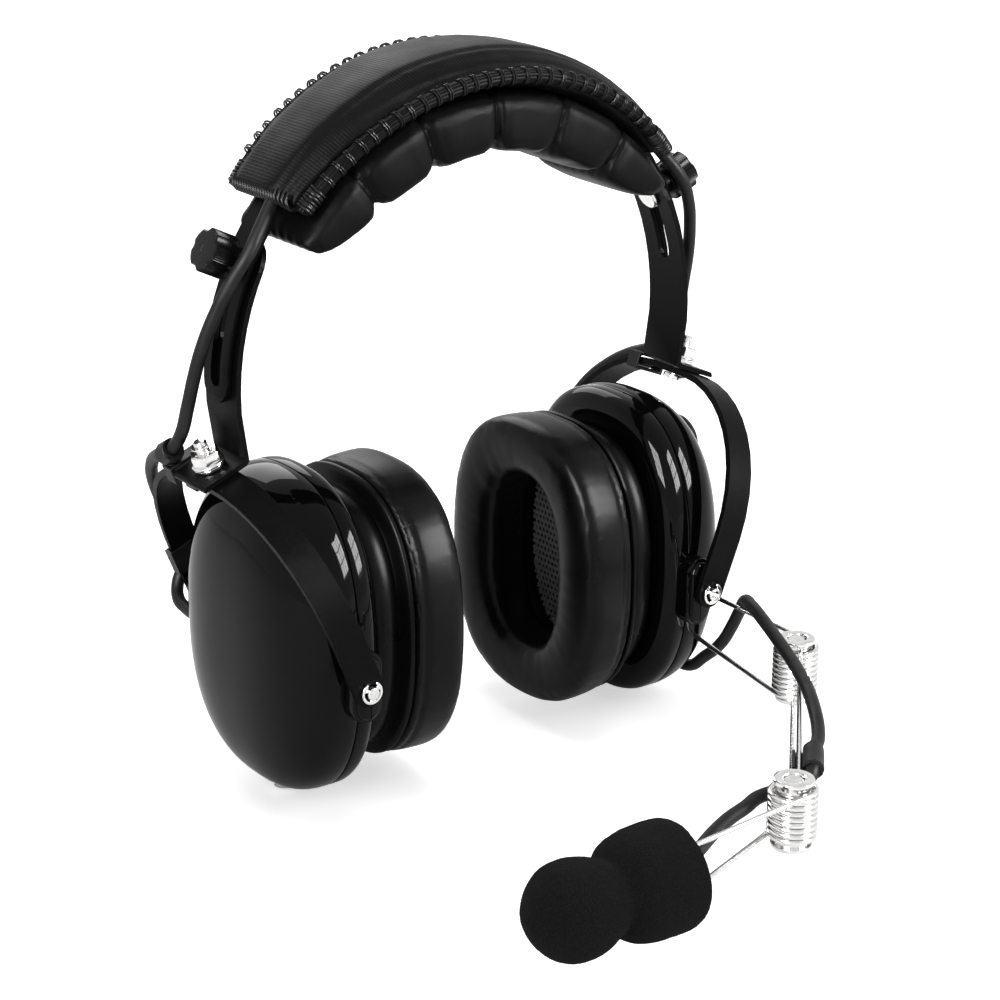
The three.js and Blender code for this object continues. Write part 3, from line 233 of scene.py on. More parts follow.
def cable_piece(name, route, node, body):
    """Lay a cable, hide the solid it stands for, and attach it to what it rides on."""
    obj, path, length = lay_cable(name, route, CABLE_D / 2)
    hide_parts(node)
    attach(obj, body)
    print(obj.name, round(length * 1000), "mm")
    return obj


cables = [cable_piece(f"{side}_cable", [Vector((k * p.x, p.y, p.z)) for p in side_route],
                      f"{side}_crossover_cable", f"{side}_yoke") for side, k in SIDES.items()]
cables.append(cable_piece("mic_lead", mic_route, "mic_cable", "boom_middle"))

# %% [markdown]
# ## Materials
# Eleven finishes cover the headset. Each is built from noise or Voronoi patterns in object
# coordinates, so nothing depends on a picture file or on the camera. A small helper makes the
# shader, and each finish then adds its own grain, sheen and wear. Numbers that are the same all
# over a surface are written on the shader's own sockets.

# %% Material helpers
def new_material(name, color, metallic=0.0, rough=0.4, specular=0.5):
    mat = bpy.data.materials.new(name)
    mat.use_nodes = True
    mat.diffuse_color = (*color, 1)
    shader = mat.node_tree.nodes["Principled BSDF"]
    shader.inputs["Base Color"].default_value = (*color, 1)
    shader.inputs["Metallic"].default_value = metallic
    shader.inputs["Roughness"].default_value = rough
    shader.inputs["Specular IOR Level"].default_value = specular
    return mat, mat.node_tree, shader


def pattern(tree, kind, scale, stretch=(1, 1, 1), **inputs):
    """A procedural texture in object coordinates; stretch makes it finer along an axis."""
    coord = tree.nodes.new("ShaderNodeTexCoord")
    mapping = tree.nodes.new("ShaderNodeMapping")
    mapping.inputs["Scale"].default_value = stretch
    texture = tree.nodes.new(kind)
    texture.inputs["Scale"].default_value = scale
    for key, value in inputs.items():
        texture.inputs[key].default_value = value
    tree.links.new(coord.outputs["Object"], mapping.inputs["Vector"])
    tree.links.new(mapping.outputs["Vector"], texture.inputs["Vector"])
    return texture


def clouds(tree, scale, **inputs):
    """The grey level of a noise pattern."""
    return pattern(tree, "ShaderNodeTexNoise", scale, **inputs).outputs["Fac"]


def ramp(tree, source, low, high, a, b):
    """Map a texture's value between low and high to two grey levels or two colours."""
    node = tree.nodes.new("ShaderNodeValToRGB")
    for element, place, value in zip(node.color_ramp.elements, (low, high), (a, b)):
        element.position = place
        element.color = (*value, 1) if isinstance(value, tuple) else (value, value, value, 1)
    tree.links.new(source, node.inputs["Fac"])
    return node.outputs["Color"]


def vary(tree, shader, socket, *ramp_settings):
    """Let a pattern drive one socket of the shader."""
    tree.links.new(ramp(tree, *ramp_settings), shader.inputs[socket])


def bump(tree, shader, height, distance, strength=1.0, after=None):
    node = tree.nodes.new("ShaderNodeBump")
    node.inputs["Strength"].default_value = strength
    node.inputs["Distance"].default_value = distance
    tree.links.new(height, node.inputs["Height"])
    if after:
        tree.links.new(after, node.inputs["Normal"])
    tree.links.new(node.outputs["Normal"], shader.inputs["Normal"])
    return node.outputs["Normal"]


def maths(tree, operation, *inputs):
    """One step of arithmetic on sockets and plain numbers."""
    node = tree.nodes.new("ShaderNodeMath")
    node.operation = operation
    for socket, value in zip(node.inputs, inputs):
        if isinstance(value, (int, float)):
            socket.default_value = value
        else:
            tree.links.new(value, socket)
    return node.outputs[0]


print("helpers ready")

# %% Hard finishes
# gloss black: moulded plastic of the ear cups, with faint ripple and dust in the shine
gloss_black, tree, shader = new_material("gloss_black_plastic", (0.002, 0.002, 0.0022),
                                         rough=0.05, specular=0.12)
smudge = clouds(tree, 30, Detail=6, Roughness=0.62)
vary(tree, shader, "Roughness", smudge, 0.4, 0.8, 0.035, 0.13)
bump(tree, shader, clouds(tree, 55, Detail=2), 0.00004, 0.3)

# satin black: painted spring steel of the band, sliders and yokes, worn along its sharp edges
paint_black = (0.003, 0.003, 0.0032)
satin_black, tree, shader = new_material("satin_black_paint", paint_black, rough=0.32,
                                         specular=0.05)
grain = clouds(tree, 900, Detail=3)
vary(tree, shader, "Roughness", grain, 0.3, 0.7, 0.3, 0.42)
edges = tree.nodes.new("ShaderNodeNewGeometry").outputs["Pointiness"]
vary(tree, shader, "Base Color", ramp(tree, edges, 0.56, 0.66, 0.0, 1.0), 0.0, 1.0, paint_black,
     (0.008, 0.008, 0.0085))
bump(tree, shader, grain, 0.00002, 0.4)

# bright metal: plated bolts, nuts, wires and clips
bright_metal, tree, shader = new_material("bright_metal", (0.86, 0.855, 0.85), metallic=1.0,
                                          rough=0.14)
haze = clouds(tree, 420, Detail=5)
vary(tree, shader, "Roughness", haze, 0.3, 0.75, 0.08, 0.24)
vary(tree, shader, "Base Color", haze, 0.35, 0.8, (0.88, 0.875, 0.87), (0.7, 0.69, 0.68))
bump(tree, shader, clouds(tree, 500, stretch=(1, 1, 9), Detail=2), 0.00003, 0.3)

# knob plastic: hard black with a soft shine and rubbed ribs
knob_black, tree, shader = new_material("knob_black_plastic", (0.003, 0.003, 0.003), rough=0.28,
                                        specular=0.16)
speck = clouds(tree, 1400, Detail=3)
vary(tree, shader, "Roughness", speck, 0.3, 0.7, 0.24, 0.38)
bump(tree, shader, speck, 0.00003, 0.4)

# grille grey: powder-coated sheet
plate_grey, tree, shader = new_material("grille_grey", (0.11, 0.11, 0.11), rough=0.4,
                                        specular=0.3)
powder = clouds(tree, 800, Detail=3)
vary(tree, shader, "Base Color", powder, 0.3, 0.7, (0.09, 0.09, 0.09), (0.13, 0.13, 0.13))
bump(tree, shader, powder, 0.00002, 0.3)

# %% Rubber, foam and thread
# black rubber: cables, grommets and sleeves, matt with a chalky bloom
black_rubber, tree, shader = new_material("black_rubber", (0.004, 0.004, 0.004), rough=0.46,
                                          specular=0.2)
bloom = clouds(tree, 160, Detail=5)
vary(tree, shader, "Base Color", bloom, 0.35, 0.75, (0.004, 0.004, 0.004), (0.008, 0.008, 0.008))
vary(tree, shader, "Roughness", bloom, 0.3, 0.7, 0.4, 0.6)
bump(tree, shader, clouds(tree, 2600, Detail=2), 0.00004, 0.4)

# foam: open cells, no shine at all
foam, tree, shader = new_material("black_foam", (0.006, 0.006, 0.006), rough=1.0, specular=0.05)
cells = pattern(tree, "ShaderNodeTexVoronoi", 3400).outputs["Distance"]
vary(tree, shader, "Base Color", cells, 0.15, 0.9, (0.002, 0.002, 0.002), (0.011, 0.011, 0.011))
fuzz = bump(tree, shader, clouds(tree, 2200, Detail=5, Roughness=0.7), 0.0002, 0.5)
bump(tree, shader, cells, 0.0002, 0.5, fuzz)

# thread: waxed black cord with a twist
thread, tree, shader = new_material("waxed_thread", (0.005, 0.005, 0.005), rough=0.3,
                                    specular=0.2)
fibre = clouds(tree, 2400, Detail=3)
vary(tree, shader, "Base Color", fibre, 0.3, 0.75, (0.004, 0.004, 0.004), (0.01, 0.01, 0.01))
bump(tree, shader, fibre, 0.00006, 0.5)


# %% Leatherettes
def cross_ribs(tree, turns):
    """Ribs of the woven cover: the sine of the angle round the centre of the band's arc."""
    coord = tree.nodes.new("ShaderNodeTexCoord")
    parts = tree.nodes.new("ShaderNodeSeparateXYZ")
    tree.links.new(coord.outputs["Object"], parts.inputs["Vector"])
    level = maths(tree, "SUBTRACT", parts.outputs["Z"], (ARC - CROWN) * MM)
    angle = maths(tree, "ARCTAN2", level, parts.outputs["X"])
    wave = maths(tree, "SINE", maths(tree, "MULTIPLY", angle, turns))
    return ramp(tree, wave, 0.2, 1.0, 0.0, 1.0)


def leather(name, color, rough, grain_size, depth, shine=0.1, ribs=0):
    """Leatherette: cells of grain with fine creases between, and a satin shine."""
    mat, tree, shader = new_material(name, color, rough=rough, specular=shine)
    cells = pattern(tree, "ShaderNodeTexVoronoi", grain_size)
    cells.feature = "DISTANCE_TO_EDGE"
    crease = ramp(tree, cells.outputs["Distance"], 0.0, 0.16, 0.0, 1.0)
    broad = clouds(tree, 55, Detail=4)
    light = tuple(v * 1.5 for v in color)
    vary(tree, shader, "Base Color", broad, 0.35, 0.7, color, light)
    vary(tree, shader, "Roughness", broad, 0.3, 0.75, rough - 0.05, rough + 0.08)
    grain = bump(tree, shader, crease, depth, 0.35)
    if ribs:
        bump(tree, shader, cross_ribs(tree, ribs), 0.00007, 0.6, grain)
    return mat


RIBS = 560                      # ribs of the cover in a whole turn, 1 mm apart
BLACK = (0.0028, 0.0028, 0.003)
pad_leather = leather("pad_leatherette", BLACK, 0.4, 1500, 0.00003, shine=0.06)
seal_leather = leather("seal_leatherette", BLACK, 0.3, 1300, 0.00002)
cover_cloth = leather("ribbed_cover", (0.0035, 0.0035, 0.0037), 0.45, 1700, 0.00003, shine=0.06,
                      ribs=RIBS)
print(len(bpy.data.materials), "materials")


# %% Dressing
def dress(obj, mat):
    """Give every material slot of an object one material."""
    if not obj.data.materials:
        obj.data.materials.append(mat)
    for i in range(len(obj.data.materials)):
        obj.data.materials[i] = mat


for cable in cables:
    dress(cable, black_rubber)

# %% [markdown]
# ## Metal and plastic pieces whose solids already have the right form
# The spring, the straps, the bolts and the smaller fittings keep the shape of their solids. Each
# is copied, its split vertices are merged, its sharp edges get a small rounded bevel that
# catches the light, and its faces are shaded smooth below 35 degrees.

# %% Refined copies
def bevel(obj, width_mm, segments=2, degrees=35):
    """A small round edge wherever two faces meet at more than the given angle."""
    mod = obj.modifiers.new("Soft edges", "BEVEL")
    mod.width = width_mm * MM
    mod.segments = segments
    mod.limit_method = "ANGLE"
    mod.angle_limit = math.radians(degrees)
    mod.miter_outer = "MITER_ARC"
    mod.harden_normals = False
    return mod


def declare(obj, mat, body, slot, *nodes):
    """Dress a piece, attach it to what it rides on, and hide the solids it stands for."""
    dress(obj, mat)
    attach(obj, body)
    if nodes:
        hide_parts(*nodes)
    return obj


def refined(node, mat, slot, width_mm):
    """A copy of a solid with its edges softened."""
    mesh = frame["nodes"][node].data.copy()
    bm = bmesh.new()
    bm.from_mesh(mesh)
    bmesh.ops.remove_doubles(bm, verts=bm.verts, dist=1e-6)
    bmesh.ops.dissolve_limit(bm, angle_limit=math.radians(1), verts=bm.verts, edges=bm.edges)
    bmesh.ops.recalc_face_normals(bm, faces=bm.faces)
    bm.to_mesh(mesh)
    bm.free()
    obj = linked(node + "_metal" if mat is bright_metal else node + "_fine", mesh)
    declare(obj, mat, body_of_node[node], slot, node)
    if width_mm:
        bevel(obj, width_mm)
    only(obj)
    bpy.ops.object.shade_smooth_by_angle(angle=math.radians(35))
    return obj


# for each material: its slot, and the solids with the width of their soft edges in millimetres
SOFT_EDGES = (
    (satin_black, "satin_black", {"band_spring": 0.25, "{}_slider": 0.2, "{}_yoke": 0.3}),
    (bright_metal, "bright_metal", {"{}_clamp_bolt": 0.15, "{}_swivel_washer": 0.12,
                                    "{}_front_pin": 0.15, "{}_rear_pin": 0.15,
                                    "volume_pot": 0.15}),
    (black_rubber, "black_rubber", {"{}_cable_clip": 0.25, "{}_cable_sleeve": 0.25}),
    (knob_black, "gloss_black", {"{}_speaker": 0.2, "mic_housing": 0.3}),
    (foam, "black_foam", {"{}_foam_liner": 0}),
)
for mat, slot, pieces in SOFT_EDGES:
    for node, width in pieces.items():
        for side in SIDES if "{}" in node else [""]:
            refined(node.format(side), mat, slot, width)
dress(frame["nodes"]["crossover_cable"], black_rubber)

# %% [markdown]
# ## A way to grow a form from an outline
# Cups, knobs, nuts, posts and caps are all one outline that changes size along an axis. So they
# start as a circle primitive whose points are moved onto the outline, and every further ring is
# an extrude, a move along the axis and a resize, as by hand. `stand` then turns the finished
# mesh from the Z axis to its own axis.

# %% Growing helpers
def new_circle(points, fill="NOTHING", **place):
    """A circle primitive that is the only thing selected."""
    bpy.ops.object.select_all(action="DESELECT")
    bpy.ops.mesh.primitive_circle_add(vertices=points, fill_type=fill, **place)
    return bpy.context.object


def open_edit():
    """Enter edit mode with everything selected."""
    bpy.ops.object.mode_set(mode="EDIT")
    bpy.ops.mesh.select_all(action="SELECT")


def close_edit():
    """Turn every face outwards and leave edit mode."""
    bpy.ops.mesh.select_all(action="SELECT")
    bpy.ops.mesh.normals_make_consistent(inside=False)
    bpy.ops.object.mode_set(mode="OBJECT")


def applied(obj, kind, **settings):
    """Add one modifier, set it up and apply it."""
    only(obj)
    mod = obj.modifiers.new("Step", kind)
    for key, value in settings.items():
        setattr(mod, key, value)
    bpy.ops.object.modifier_apply(modifier=mod.name)
    return obj


def grown(name, outline, rings, ends="both", loop=False):
    """Rings of (level, width factor, depth factor) on an outline, in millimetres along Z."""
    closed_start = ends == "both" and not loop
    obj = new_circle(len(outline), "NGON" if closed_start else "NOTHING", radius=1)
    obj.name = obj.data.name = name
    level, wide, deep = rings[0]
    for vert, (x, y) in zip(obj.data.vertices, outline):
        vert.co = (x * wide * MM, y * deep * MM, level * MM)
    open_edit()
    for (l0, w0, d0), (l1, w1, d1) in zip(rings, rings[1:]):
        bpy.ops.mesh.extrude_region_move(
            TRANSFORM_OT_translate={"value": (0, 0, (l1 - l0) * MM)})
        bpy.ops.transform.resize(value=(w1 / w0, d1 / d0, 1),
                                 center_override=(0, 0, l1 * MM))
    if ends == "end":
        bpy.ops.mesh.edge_face_add()
    if loop:
        bpy.ops.mesh.select_all(action="SELECT")
        bpy.ops.mesh.remove_doubles(threshold=2e-6)
    close_edit()
    return obj


def circle(sides=48):
    return [(math.cos(2 * math.pi * i / sides), math.sin(2 * math.pi * i / sides))
            for i in range(sides)]


def oval(sides=128, power=OVAL_POWER):
    """A unit oval with squarer shoulders than an ellipse."""
    points = []
    for x, y in circle(sides):
        size = (abs(x) ** power + abs(y) ** power) ** (-1 / power)
        points.append((x * size, y * size))
    return points


def turned(name, profile, sides=48, loop=False):
    """A round form from a profile of (radius, level)."""
    return grown(name, circle(sides), [(h, r, r) for r, h in profile], loop=loop)


def stand(obj, base, direction):
    """Move a mesh grown along Z to its own base and axis."""
    turn = Vector(direction).to_track_quat("Z", "Y").to_matrix().to_4x4()
    obj.data.transform(Matrix.Translation(base) @ turn)
    return obj


def finish(obj, mat, body, slot, *nodes, name=None, soft_edge=0.0):
    """Round the sharp edges, shade it, dress it, hide the solids it stands for, name it, and
    attach it to what it rides on.
    """
    only(obj)
    if soft_edge:
        bevel(obj, soft_edge, 3)
        bpy.ops.object.modifier_apply(modifier="Soft edges")
    bpy.ops.object.shade_smooth_by_angle(angle=math.radians(40))
    obj.data.materials.clear()
    declare(obj, mat, body, slot, *nodes)
    if name:
        obj.name = name
    return obj


def plated(obj, body, *nodes, **more):
    """Finish a piece of bright metal."""
    return finish(obj, bright_metal, body, "bright_metal", *nodes, **more)


def joined(parts):
    """One object from many."""
    only(parts[0])
    for part in parts[1:]:
        part.select_set(True)
    bpy.ops.object.join()
    return parts[0]


def flipped(obj, k):
    """The same form on the other side of the head."""
    if k < 0:
        obj.data.transform(Matrix.Scale(-1, 4, (1, 0, 0)))
        obj.data.flip_normals()
    return obj


print("growing helpers ready")

# %% [markdown]
# ## Ear cups
# Each cup is two mouldings that meet at a seam: a deep dome outboard and a shallow base
# inboard. The dome's rings follow one curve from upright at the seam to flat at its top, then
# Solidify gives the wall its thickness inward. The pivot bosses are stepped pads on the front
# and rear walls, cut in two where the seam runs through them.

# %% Ear cup shells
SEAM_X, DOME_OUT, DOME_POWER = 62.9, 22.7, 2.7
SHELL_Y, SHELL_Z, SEAM_GAP = 38.0, 50.4, 0.15
BASE_X, RING_IN = 54.2, 41.6
HOLE_Y, HOLE_Z = 17.0, 28.0
BOSS_X, BOSS_TOP, BOSS_BOTTOM, BOSS_FACE = 63.2, 10.8, -11.8, 43.7
BOSS_HALF, BOSS_STEP = 5.2, 1.3
WALL, RIM = 2.0, 0.5            # thickness of the dome, and how far its edge is rounded


def stand_oval(obj):
    """Turn an oval grown along Z so that its levels run along X and its height along Z."""
    turn = Matrix(((0, 0, 1, 0), (1, 0, 0, 0), (0, 1, 0, 0), (0, 0, 0, 1)))
    obj.data.transform(Matrix.Translation(at(0, 0, CUP_Z)) @ turn)
    return obj


def walled(obj, thickness):
    """Give a sheet its thickness, away from the side its faces look to."""
    return applied(obj, "SOLIDIFY", thickness=thickness * MM, offset=-1)


def stadium(half, top, bottom, steps=20):
    """An upright slot outline, as factors of its half width and half height."""
    tall = (top - bottom) / 2
    points = []
    for i in range(2 * steps):
        a = math.pi * (i if i < steps else i - 1) / (steps - 1)
        rise = tall - half if i < steps else half - tall
        points.append((math.cos(a), (half * math.sin(a) + rise) / tall))
    return points, tall


def boss_pads(x_from, x_to):
    """The stepped pads in front and behind, as far as they belong to one moulding."""
    outline, tall = stadium(BOSS_HALF, BOSS_TOP, BOSS_BOTTOM)
    wide = BOSS_HALF
    step_w, step_d = (wide - BOSS_STEP) / wide, (tall - BOSS_STEP) / tall
    levels = [(34.5, 1, 1), (41.9, 1, 1), (42.35, 0.975, 0.983), (42.45, 0.94, 0.96),
              (42.5, step_w + 0.03, step_d + 0.02), (43.2, step_w, step_d),
              (43.55, step_w - 0.03, step_d - 0.02), (BOSS_FACE, step_w - 0.08, step_d - 0.05)]
    pads = []
    for front in (-1, 1):
        pad = grown("boss", outline, [(y, w * wide, d * tall) for y, w, d in levels])
        turn = Matrix(((1, 0, 0, 0), (0, 0, front, 0), (0, 1, 0, 0), (0, 0, 0, 1)))
        pad.data.transform(Matrix.Translation(at(BOSS_X, 0, (BOSS_TOP + BOSS_BOTTOM) / 2)) @ turn)
        only(pad)
        bpy.ops.object.mode_set(mode="EDIT")
        for plane, facing in ((x_from, 1), (x_to, -1)):
            bpy.ops.mesh.select_all(action="SELECT")
            bpy.ops.mesh.bisect(plane_co=at(plane, 0, 0), plane_no=(facing, 0, 0),
                                use_fill=True, clear_inner=True)
        close_edit()
        pads.append(pad)
    return pads


def cup_shell(k):
    """The outboard dome."""
    seam, steps = SEAM_X + SEAM_GAP, 26
    rings = [(seam, SHELL_Y - RIM, SHELL_Z - RIM), (seam + 0.12, SHELL_Y - 0.15, SHELL_Z - 0.15),
             (seam + RIM, SHELL_Y, SHELL_Z)]
    for i in range(2, steps + 1):
        rise = math.sin(math.pi / 2 * i / steps)
        s = 0.015 if i == steps else (1 - rise ** DOME_POWER) ** (1 / DOME_POWER)
        rings.append((seam + DOME_OUT * rise, SHELL_Y * s, SHELL_Z * s))
    dome = walled(stand_oval(grown("dome", oval(), rings, ends="end")), WALL)
    return flipped(joined([dome, *boss_pads(seam, 80)]), k)


def cup_base(k):
    """The inboard moulding, whose rings run round its wall and back along its inside."""
    seam, d, h = SEAM_X - SEAM_GAP, SHELL_Y, SHELL_Z
    rings = [(seam, d - RIM, h - RIM), (seam - 0.12, d - 0.15, h - 0.15), (seam - RIM, d, h)]
    for i in range(1, 13):
        a = math.pi / 2 * i / 12
        rings.append((BASE_X + 6.0 - 6.0 * math.sin(a) ** 0.9, d - 7.0 * (1 - math.cos(a)),
                      h - 7.3 * (1 - math.cos(a))))
    rings += [(BASE_X, HOLE_Y + 3, HOLE_Z + 3), (BASE_X + 2, HOLE_Y + 3, HOLE_Z + 3),
              (BASE_X + 2, d - 7.8, h - 8.1), (BASE_X + 5.4, d - 2.2, h - 2.2),
              (seam, d - 2.2, h - 2.2), (seam, d - RIM, h - RIM)]
    base = stand_oval(grown("base", oval(), rings, loop=True))
    return flipped(joined([base, *boss_pads(50, seam)]), k)


for side, k in SIDES.items():
    shell = finish(cup_shell(k), gloss_black, f"{side}_cup", "gloss_black", f"{side}_shell",
                   name=f"{side}_dome")
    base = finish(cup_base(k), gloss_black, f"{side}_cup", "gloss_black", f"{side}_shell_base",
                  name=f"{side}_base")
    print(shell.name, len(shell.data.polygons), base.name, len(base.data.polygons))

# %% [markdown]
# ## Seal ring, grille and what lies behind it
# The ear seal clips over a moulded ring with a rolled edge. Inside it a perforated plate covers
# the foam and the speaker. The plate is one small square with a round hole, repeated by two
# arrays with every second row shifted by half a step, trimmed to the oval and thickened.

# %% Seal ring and grille
RING_OUT, SEAL_BACK, SEAL_FACE, SEAL_Y, SEAL_Z = BASE_X - CLEAR, 41.3, 22.4, 37.6, 46.6
HOLE_R, STEP_Y, STEP_Z = 0.72, 1.9, 2.1         # the plate's holes and their spacing
PLATE_X, PLATE_Y, PLATE_Z, PLATE_T = 45.7, 21.2, 32.2, 1.2


def seal_ring(k):
    """Levels and how far each lies inside the seal's edge: the foot, the waist, the lip."""
    profile = [(RING_OUT, 8.6), (RING_OUT - 0.7, 7.3), (RING_OUT - 1.8, 6.2),
               (RING_OUT - 3.4, 5.4), (RING_OUT - 5.4, 5.1), (RING_OUT - 7.4, 5.4),
               (RING_IN + 3.6, 6.1), (RING_IN + 2.9, 6.2), (RING_IN + 2.5, 5.6),
               (RING_IN + 2.1, 3.2), (RING_IN + 1.7, 1.8), (RING_IN + 1.3, 1.4),
               (RING_IN + 0.7, 1.3), (RING_IN + 0.2, 1.6), (RING_IN, 2.2)]
    rings = [(x, SEAL_Y - off, SEAL_Z - 1.03 * off) for x, off in profile]
    rings += [(x, HOLE_Y + 5, HOLE_Z + 5) for x in (RING_IN, RING_OUT)] + rings[:1]
    return flipped(stand_oval(grown("ring", oval(), rings, loop=True)), k)


def grille(k):
    obj = new_circle(8, radius=MM)
    corner = (STEP_Y / 2, STEP_Z / 2)
    square = [(1, 0), (1, 1), (0, 1), (-1, 1), (-1, 0), (-1, -1), (0, -1), (1, -1)]
    for vert, (x, y) in zip(obj.data.vertices, square):
        vert.co = (x * corner[0] * MM, y * corner[1] * MM, 0)
    open_edit()
    bpy.ops.mesh.extrude_region_move()
    bm = bmesh.from_edit_mesh(obj.data)
    for vert in (v for v in bm.verts if v.select):
        a = math.atan2(vert.co.y / corner[1], vert.co.x / corner[0])
        vert.co = (HOLE_R * MM * math.cos(a), HOLE_R * MM * math.sin(a), 0)
    bmesh.update_edit_mesh(obj.data)
    bpy.ops.object.mode_set(mode="OBJECT")
    for count, shift in ((25, (STEP_Y, 0)), (2, (STEP_Y / 2, STEP_Z)), (17, (0, 2 * STEP_Z))):
        applied(obj, "ARRAY", use_relative_offset=False, use_constant_offset=True, count=count,
                constant_offset_displace=(shift[0] * MM, shift[1] * MM, 0))
    middle = sum((v.co for v in obj.data.vertices), Vector()) / len(obj.data.vertices)
    obj.data.transform(Matrix.Translation(-middle))
    only(obj)
    open_edit()
    bpy.ops.mesh.remove_doubles(threshold=1e-5)
    bm = bmesh.from_edit_mesh(obj.data)
    for face in bm.faces:
        y, z = face.calc_center_median().xy * 1000
        face.select = abs(y / PLATE_Y) ** OVAL_POWER + abs(z / PLATE_Z) ** OVAL_POWER > 1
    bmesh.update_edit_mesh(obj.data)
    bpy.ops.mesh.delete(type="FACE")
    bpy.ops.object.mode_set(mode="OBJECT")
    stand_oval(obj)
    obj.data.transform(Matrix.Translation((PLATE_X * MM, 0, 0)))
    return flipped(walled(obj, PLATE_T), k)


for side, k in SIDES.items():
    ring = finish(seal_ring(k), seal_leather, f"{side}_cup", "satin_black", f"{side}_seal_ring",
                  name=f"{side}_ring")
    plate = finish(grille(k), plate_grey, f"{side}_cup", "satin_black", f"{side}_grille",
                   name=f"{side}_perforated_plate")
    print(ring.name, plate.name, len(plate.data.polygons))

# %% [markdown]
# ## Thumb knobs
# A clamp bolt goes through both slots of each leg, and a fluted plastic knob tightens it. The
# knob's outline is a circle with five scoops, each part of a smaller circle, on a plain round
# hub. Fine ribs run along the lobes between the scoops, and the outer face is flat.

# %% Thumb knobs
CLAMP = 26.2                    # degrees of the clamp bolt on the band's arc
RIB_DEPTH, RIB_COUNT, RIB_FROM = 0.05, 60, 0.965
KNOB_R, HUB_R, SCOOPS, SCOOP_R, SCOOP_AT = 6.5, 4.2, 5, 2.8, 8.4
KNOB_BASE = BAND_R + BAND_T / 2 + CLEAR


def fluted(sides, scoops, radius, scoop_r, scoop_at):
    """A circle with round scoops, as factors of its radius."""
    points = []
    for x, y in circle(sides):
        a = math.atan2(y, x)
        off = (a + math.pi / scoops) % (2 * math.pi / scoops) - math.pi / scoops
        r, across = radius, scoop_at * math.sin(off)
        if abs(across) < scoop_r:
            r = min(r, scoop_at * math.cos(off) - math.sqrt(scoop_r ** 2 - across ** 2))
        points.append((x * r / radius, y * r / radius))
    return points


def ribbed_lobes(points):
    """Fine ribs round the outermost part of each lobe; the scoops stay plain."""
    ribbed = []
    for x, y in points:
        wave = 0.5 - 0.5 * math.cos(RIB_COUNT * math.atan2(y, x))
        left = 1 - (RIB_DEPTH * wave if math.hypot(x, y) > RIB_FROM else 0.0)
        ribbed.append((x * left, y * left))
    return ribbed


def thumb_knob(k):
    hub = turned("hub", [(HUB_R - 0.3, 0), (HUB_R, 0.3), (HUB_R, 3.2), (HUB_R + 0.5, 3.75)])
    flutes = ribbed_lobes(fluted(360, SCOOPS, KNOB_R, SCOOP_R, SCOOP_AT))
    r = KNOB_R
    rings = [(3.5, r - 0.5), (3.65, r - 0.15), (4.0, r), (11.3, r), (11.75, r - 0.15),
             (12.0, r - 0.45), (12.05, r - 1.0), (12.05, 1.2), (11.9, 1.0), (11.9, 0.2)]
    body = grown("body", flutes, [(h, w, w) for h, w in rings])
    knob = joined([body, hub])
    a = math.radians(CLAMP)
    stand(knob, on_arc(KNOB_BASE, CLAMP), (math.cos(a), 0, math.sin(a)))
    return flipped(knob, k)


for side, k in SIDES.items():
    knob = finish(thumb_knob(k), knob_black, f"{side}_knob", "gloss_black", f"{side}_knob",
                  name=f"{side}_thumb_knob")
    print(knob.name, len(knob.data.polygons))

# %% [markdown]
# ## Swivel bolt and its nut
# Each yoke hangs from the slider's foot on a bolt: a head below, a washer and a flanged nut
# above, and a threaded stud that stands out of it with a retaining ring in its groove. The
# thread is a real one only in outline: rings at its pitch, which look the same at this size.

# %% Swivel bolts and nuts
NUT_ACROSS, STUD_R, STUD_TOP = 8.0, 2.0, 11.0
THREAD_FROM, THREAD_TO, THREAD_PITCH, THREAD_DEPTH = 7.6, 8.9, 0.5, 0.2


def on_swivel(parts, k):
    """Join forms grown along Z, set them on the swivel's axis and mirror them for the right."""
    return flipped(stand(joined(parts), from_yoke(0, YOKE_TOP, SWIVEL_OFF), YOKE_UP), k)


def swivel_bolt(k):
    head = [(3.0, -3.9), (3.5, -3.8), (3.6, -3.4), (3.6, -2.5), (3.5, -2.3), (STUD_R, -2.3)]
    shank = [(STUD_R, 7.4)]
    level = THREAD_FROM
    while level < THREAD_TO:
        shank += [(STUD_R - 0.02, level), (STUD_R - THREAD_DEPTH, level + THREAD_PITCH / 2)]
        level += THREAD_PITCH
    shank += [(STUD_R, 9.1), (1.5, 9.15), (1.5, 9.75), (STUD_R, 9.8), (STUD_R, 10.6),
              (1.6, STUD_TOP)]
    bolt = turned("bolt", head + shank)
    ring = turned("ring", [(1.55, 9.25), (3.0, 9.25), (3.05, 9.3), (3.05, 9.6), (3.0, 9.65),
                           (1.55, 9.65), (1.55, 9.25)], loop=True)
    return on_swivel([bolt, ring], k)


def hex_nut(k):
    corner = NUT_ACROSS / math.sqrt(3)
    flange = turned("flange", [(4.6, 3.1 + CLEAR), (5.0, 3.6), (5.0, 3.9), (4.6, 4.25),
                               (3.6, 4.6)])
    outline = []
    for x, y in circle(72):
        off = (math.atan2(y, x) + math.pi / 6) % (math.pi / 3) - math.pi / 6
        r = min(NUT_ACROSS / 2 / math.cos(off), 0.99 * corner)
        outline.append((x * r / corner, y * r / corner))
    body = grown("hex", outline, [(3.9, corner, corner), (6.9, corner, corner),
                                  (7.25, corner * 0.965, corner * 0.965),
                                  (7.4, corner * 0.88, corner * 0.88),
                                  (7.4, 3.0, 3.0), (7.6, 2.8, 2.8), (7.6, 2.1, 2.1)])
    return on_swivel([body, flange], k)


for side, k in SIDES.items():
    bolt = plated(swivel_bolt(k), f"{side}_slider", f"{side}_swivel_bolt",
                  name=f"{side}_swivel_stud")
    nut = plated(hex_nut(k), f"{side}_slider", f"{side}_swivel_nut", soft_edge=0.12,
                 name=f"{side}_flanged_nut")
    print(bolt.name, nut.name)

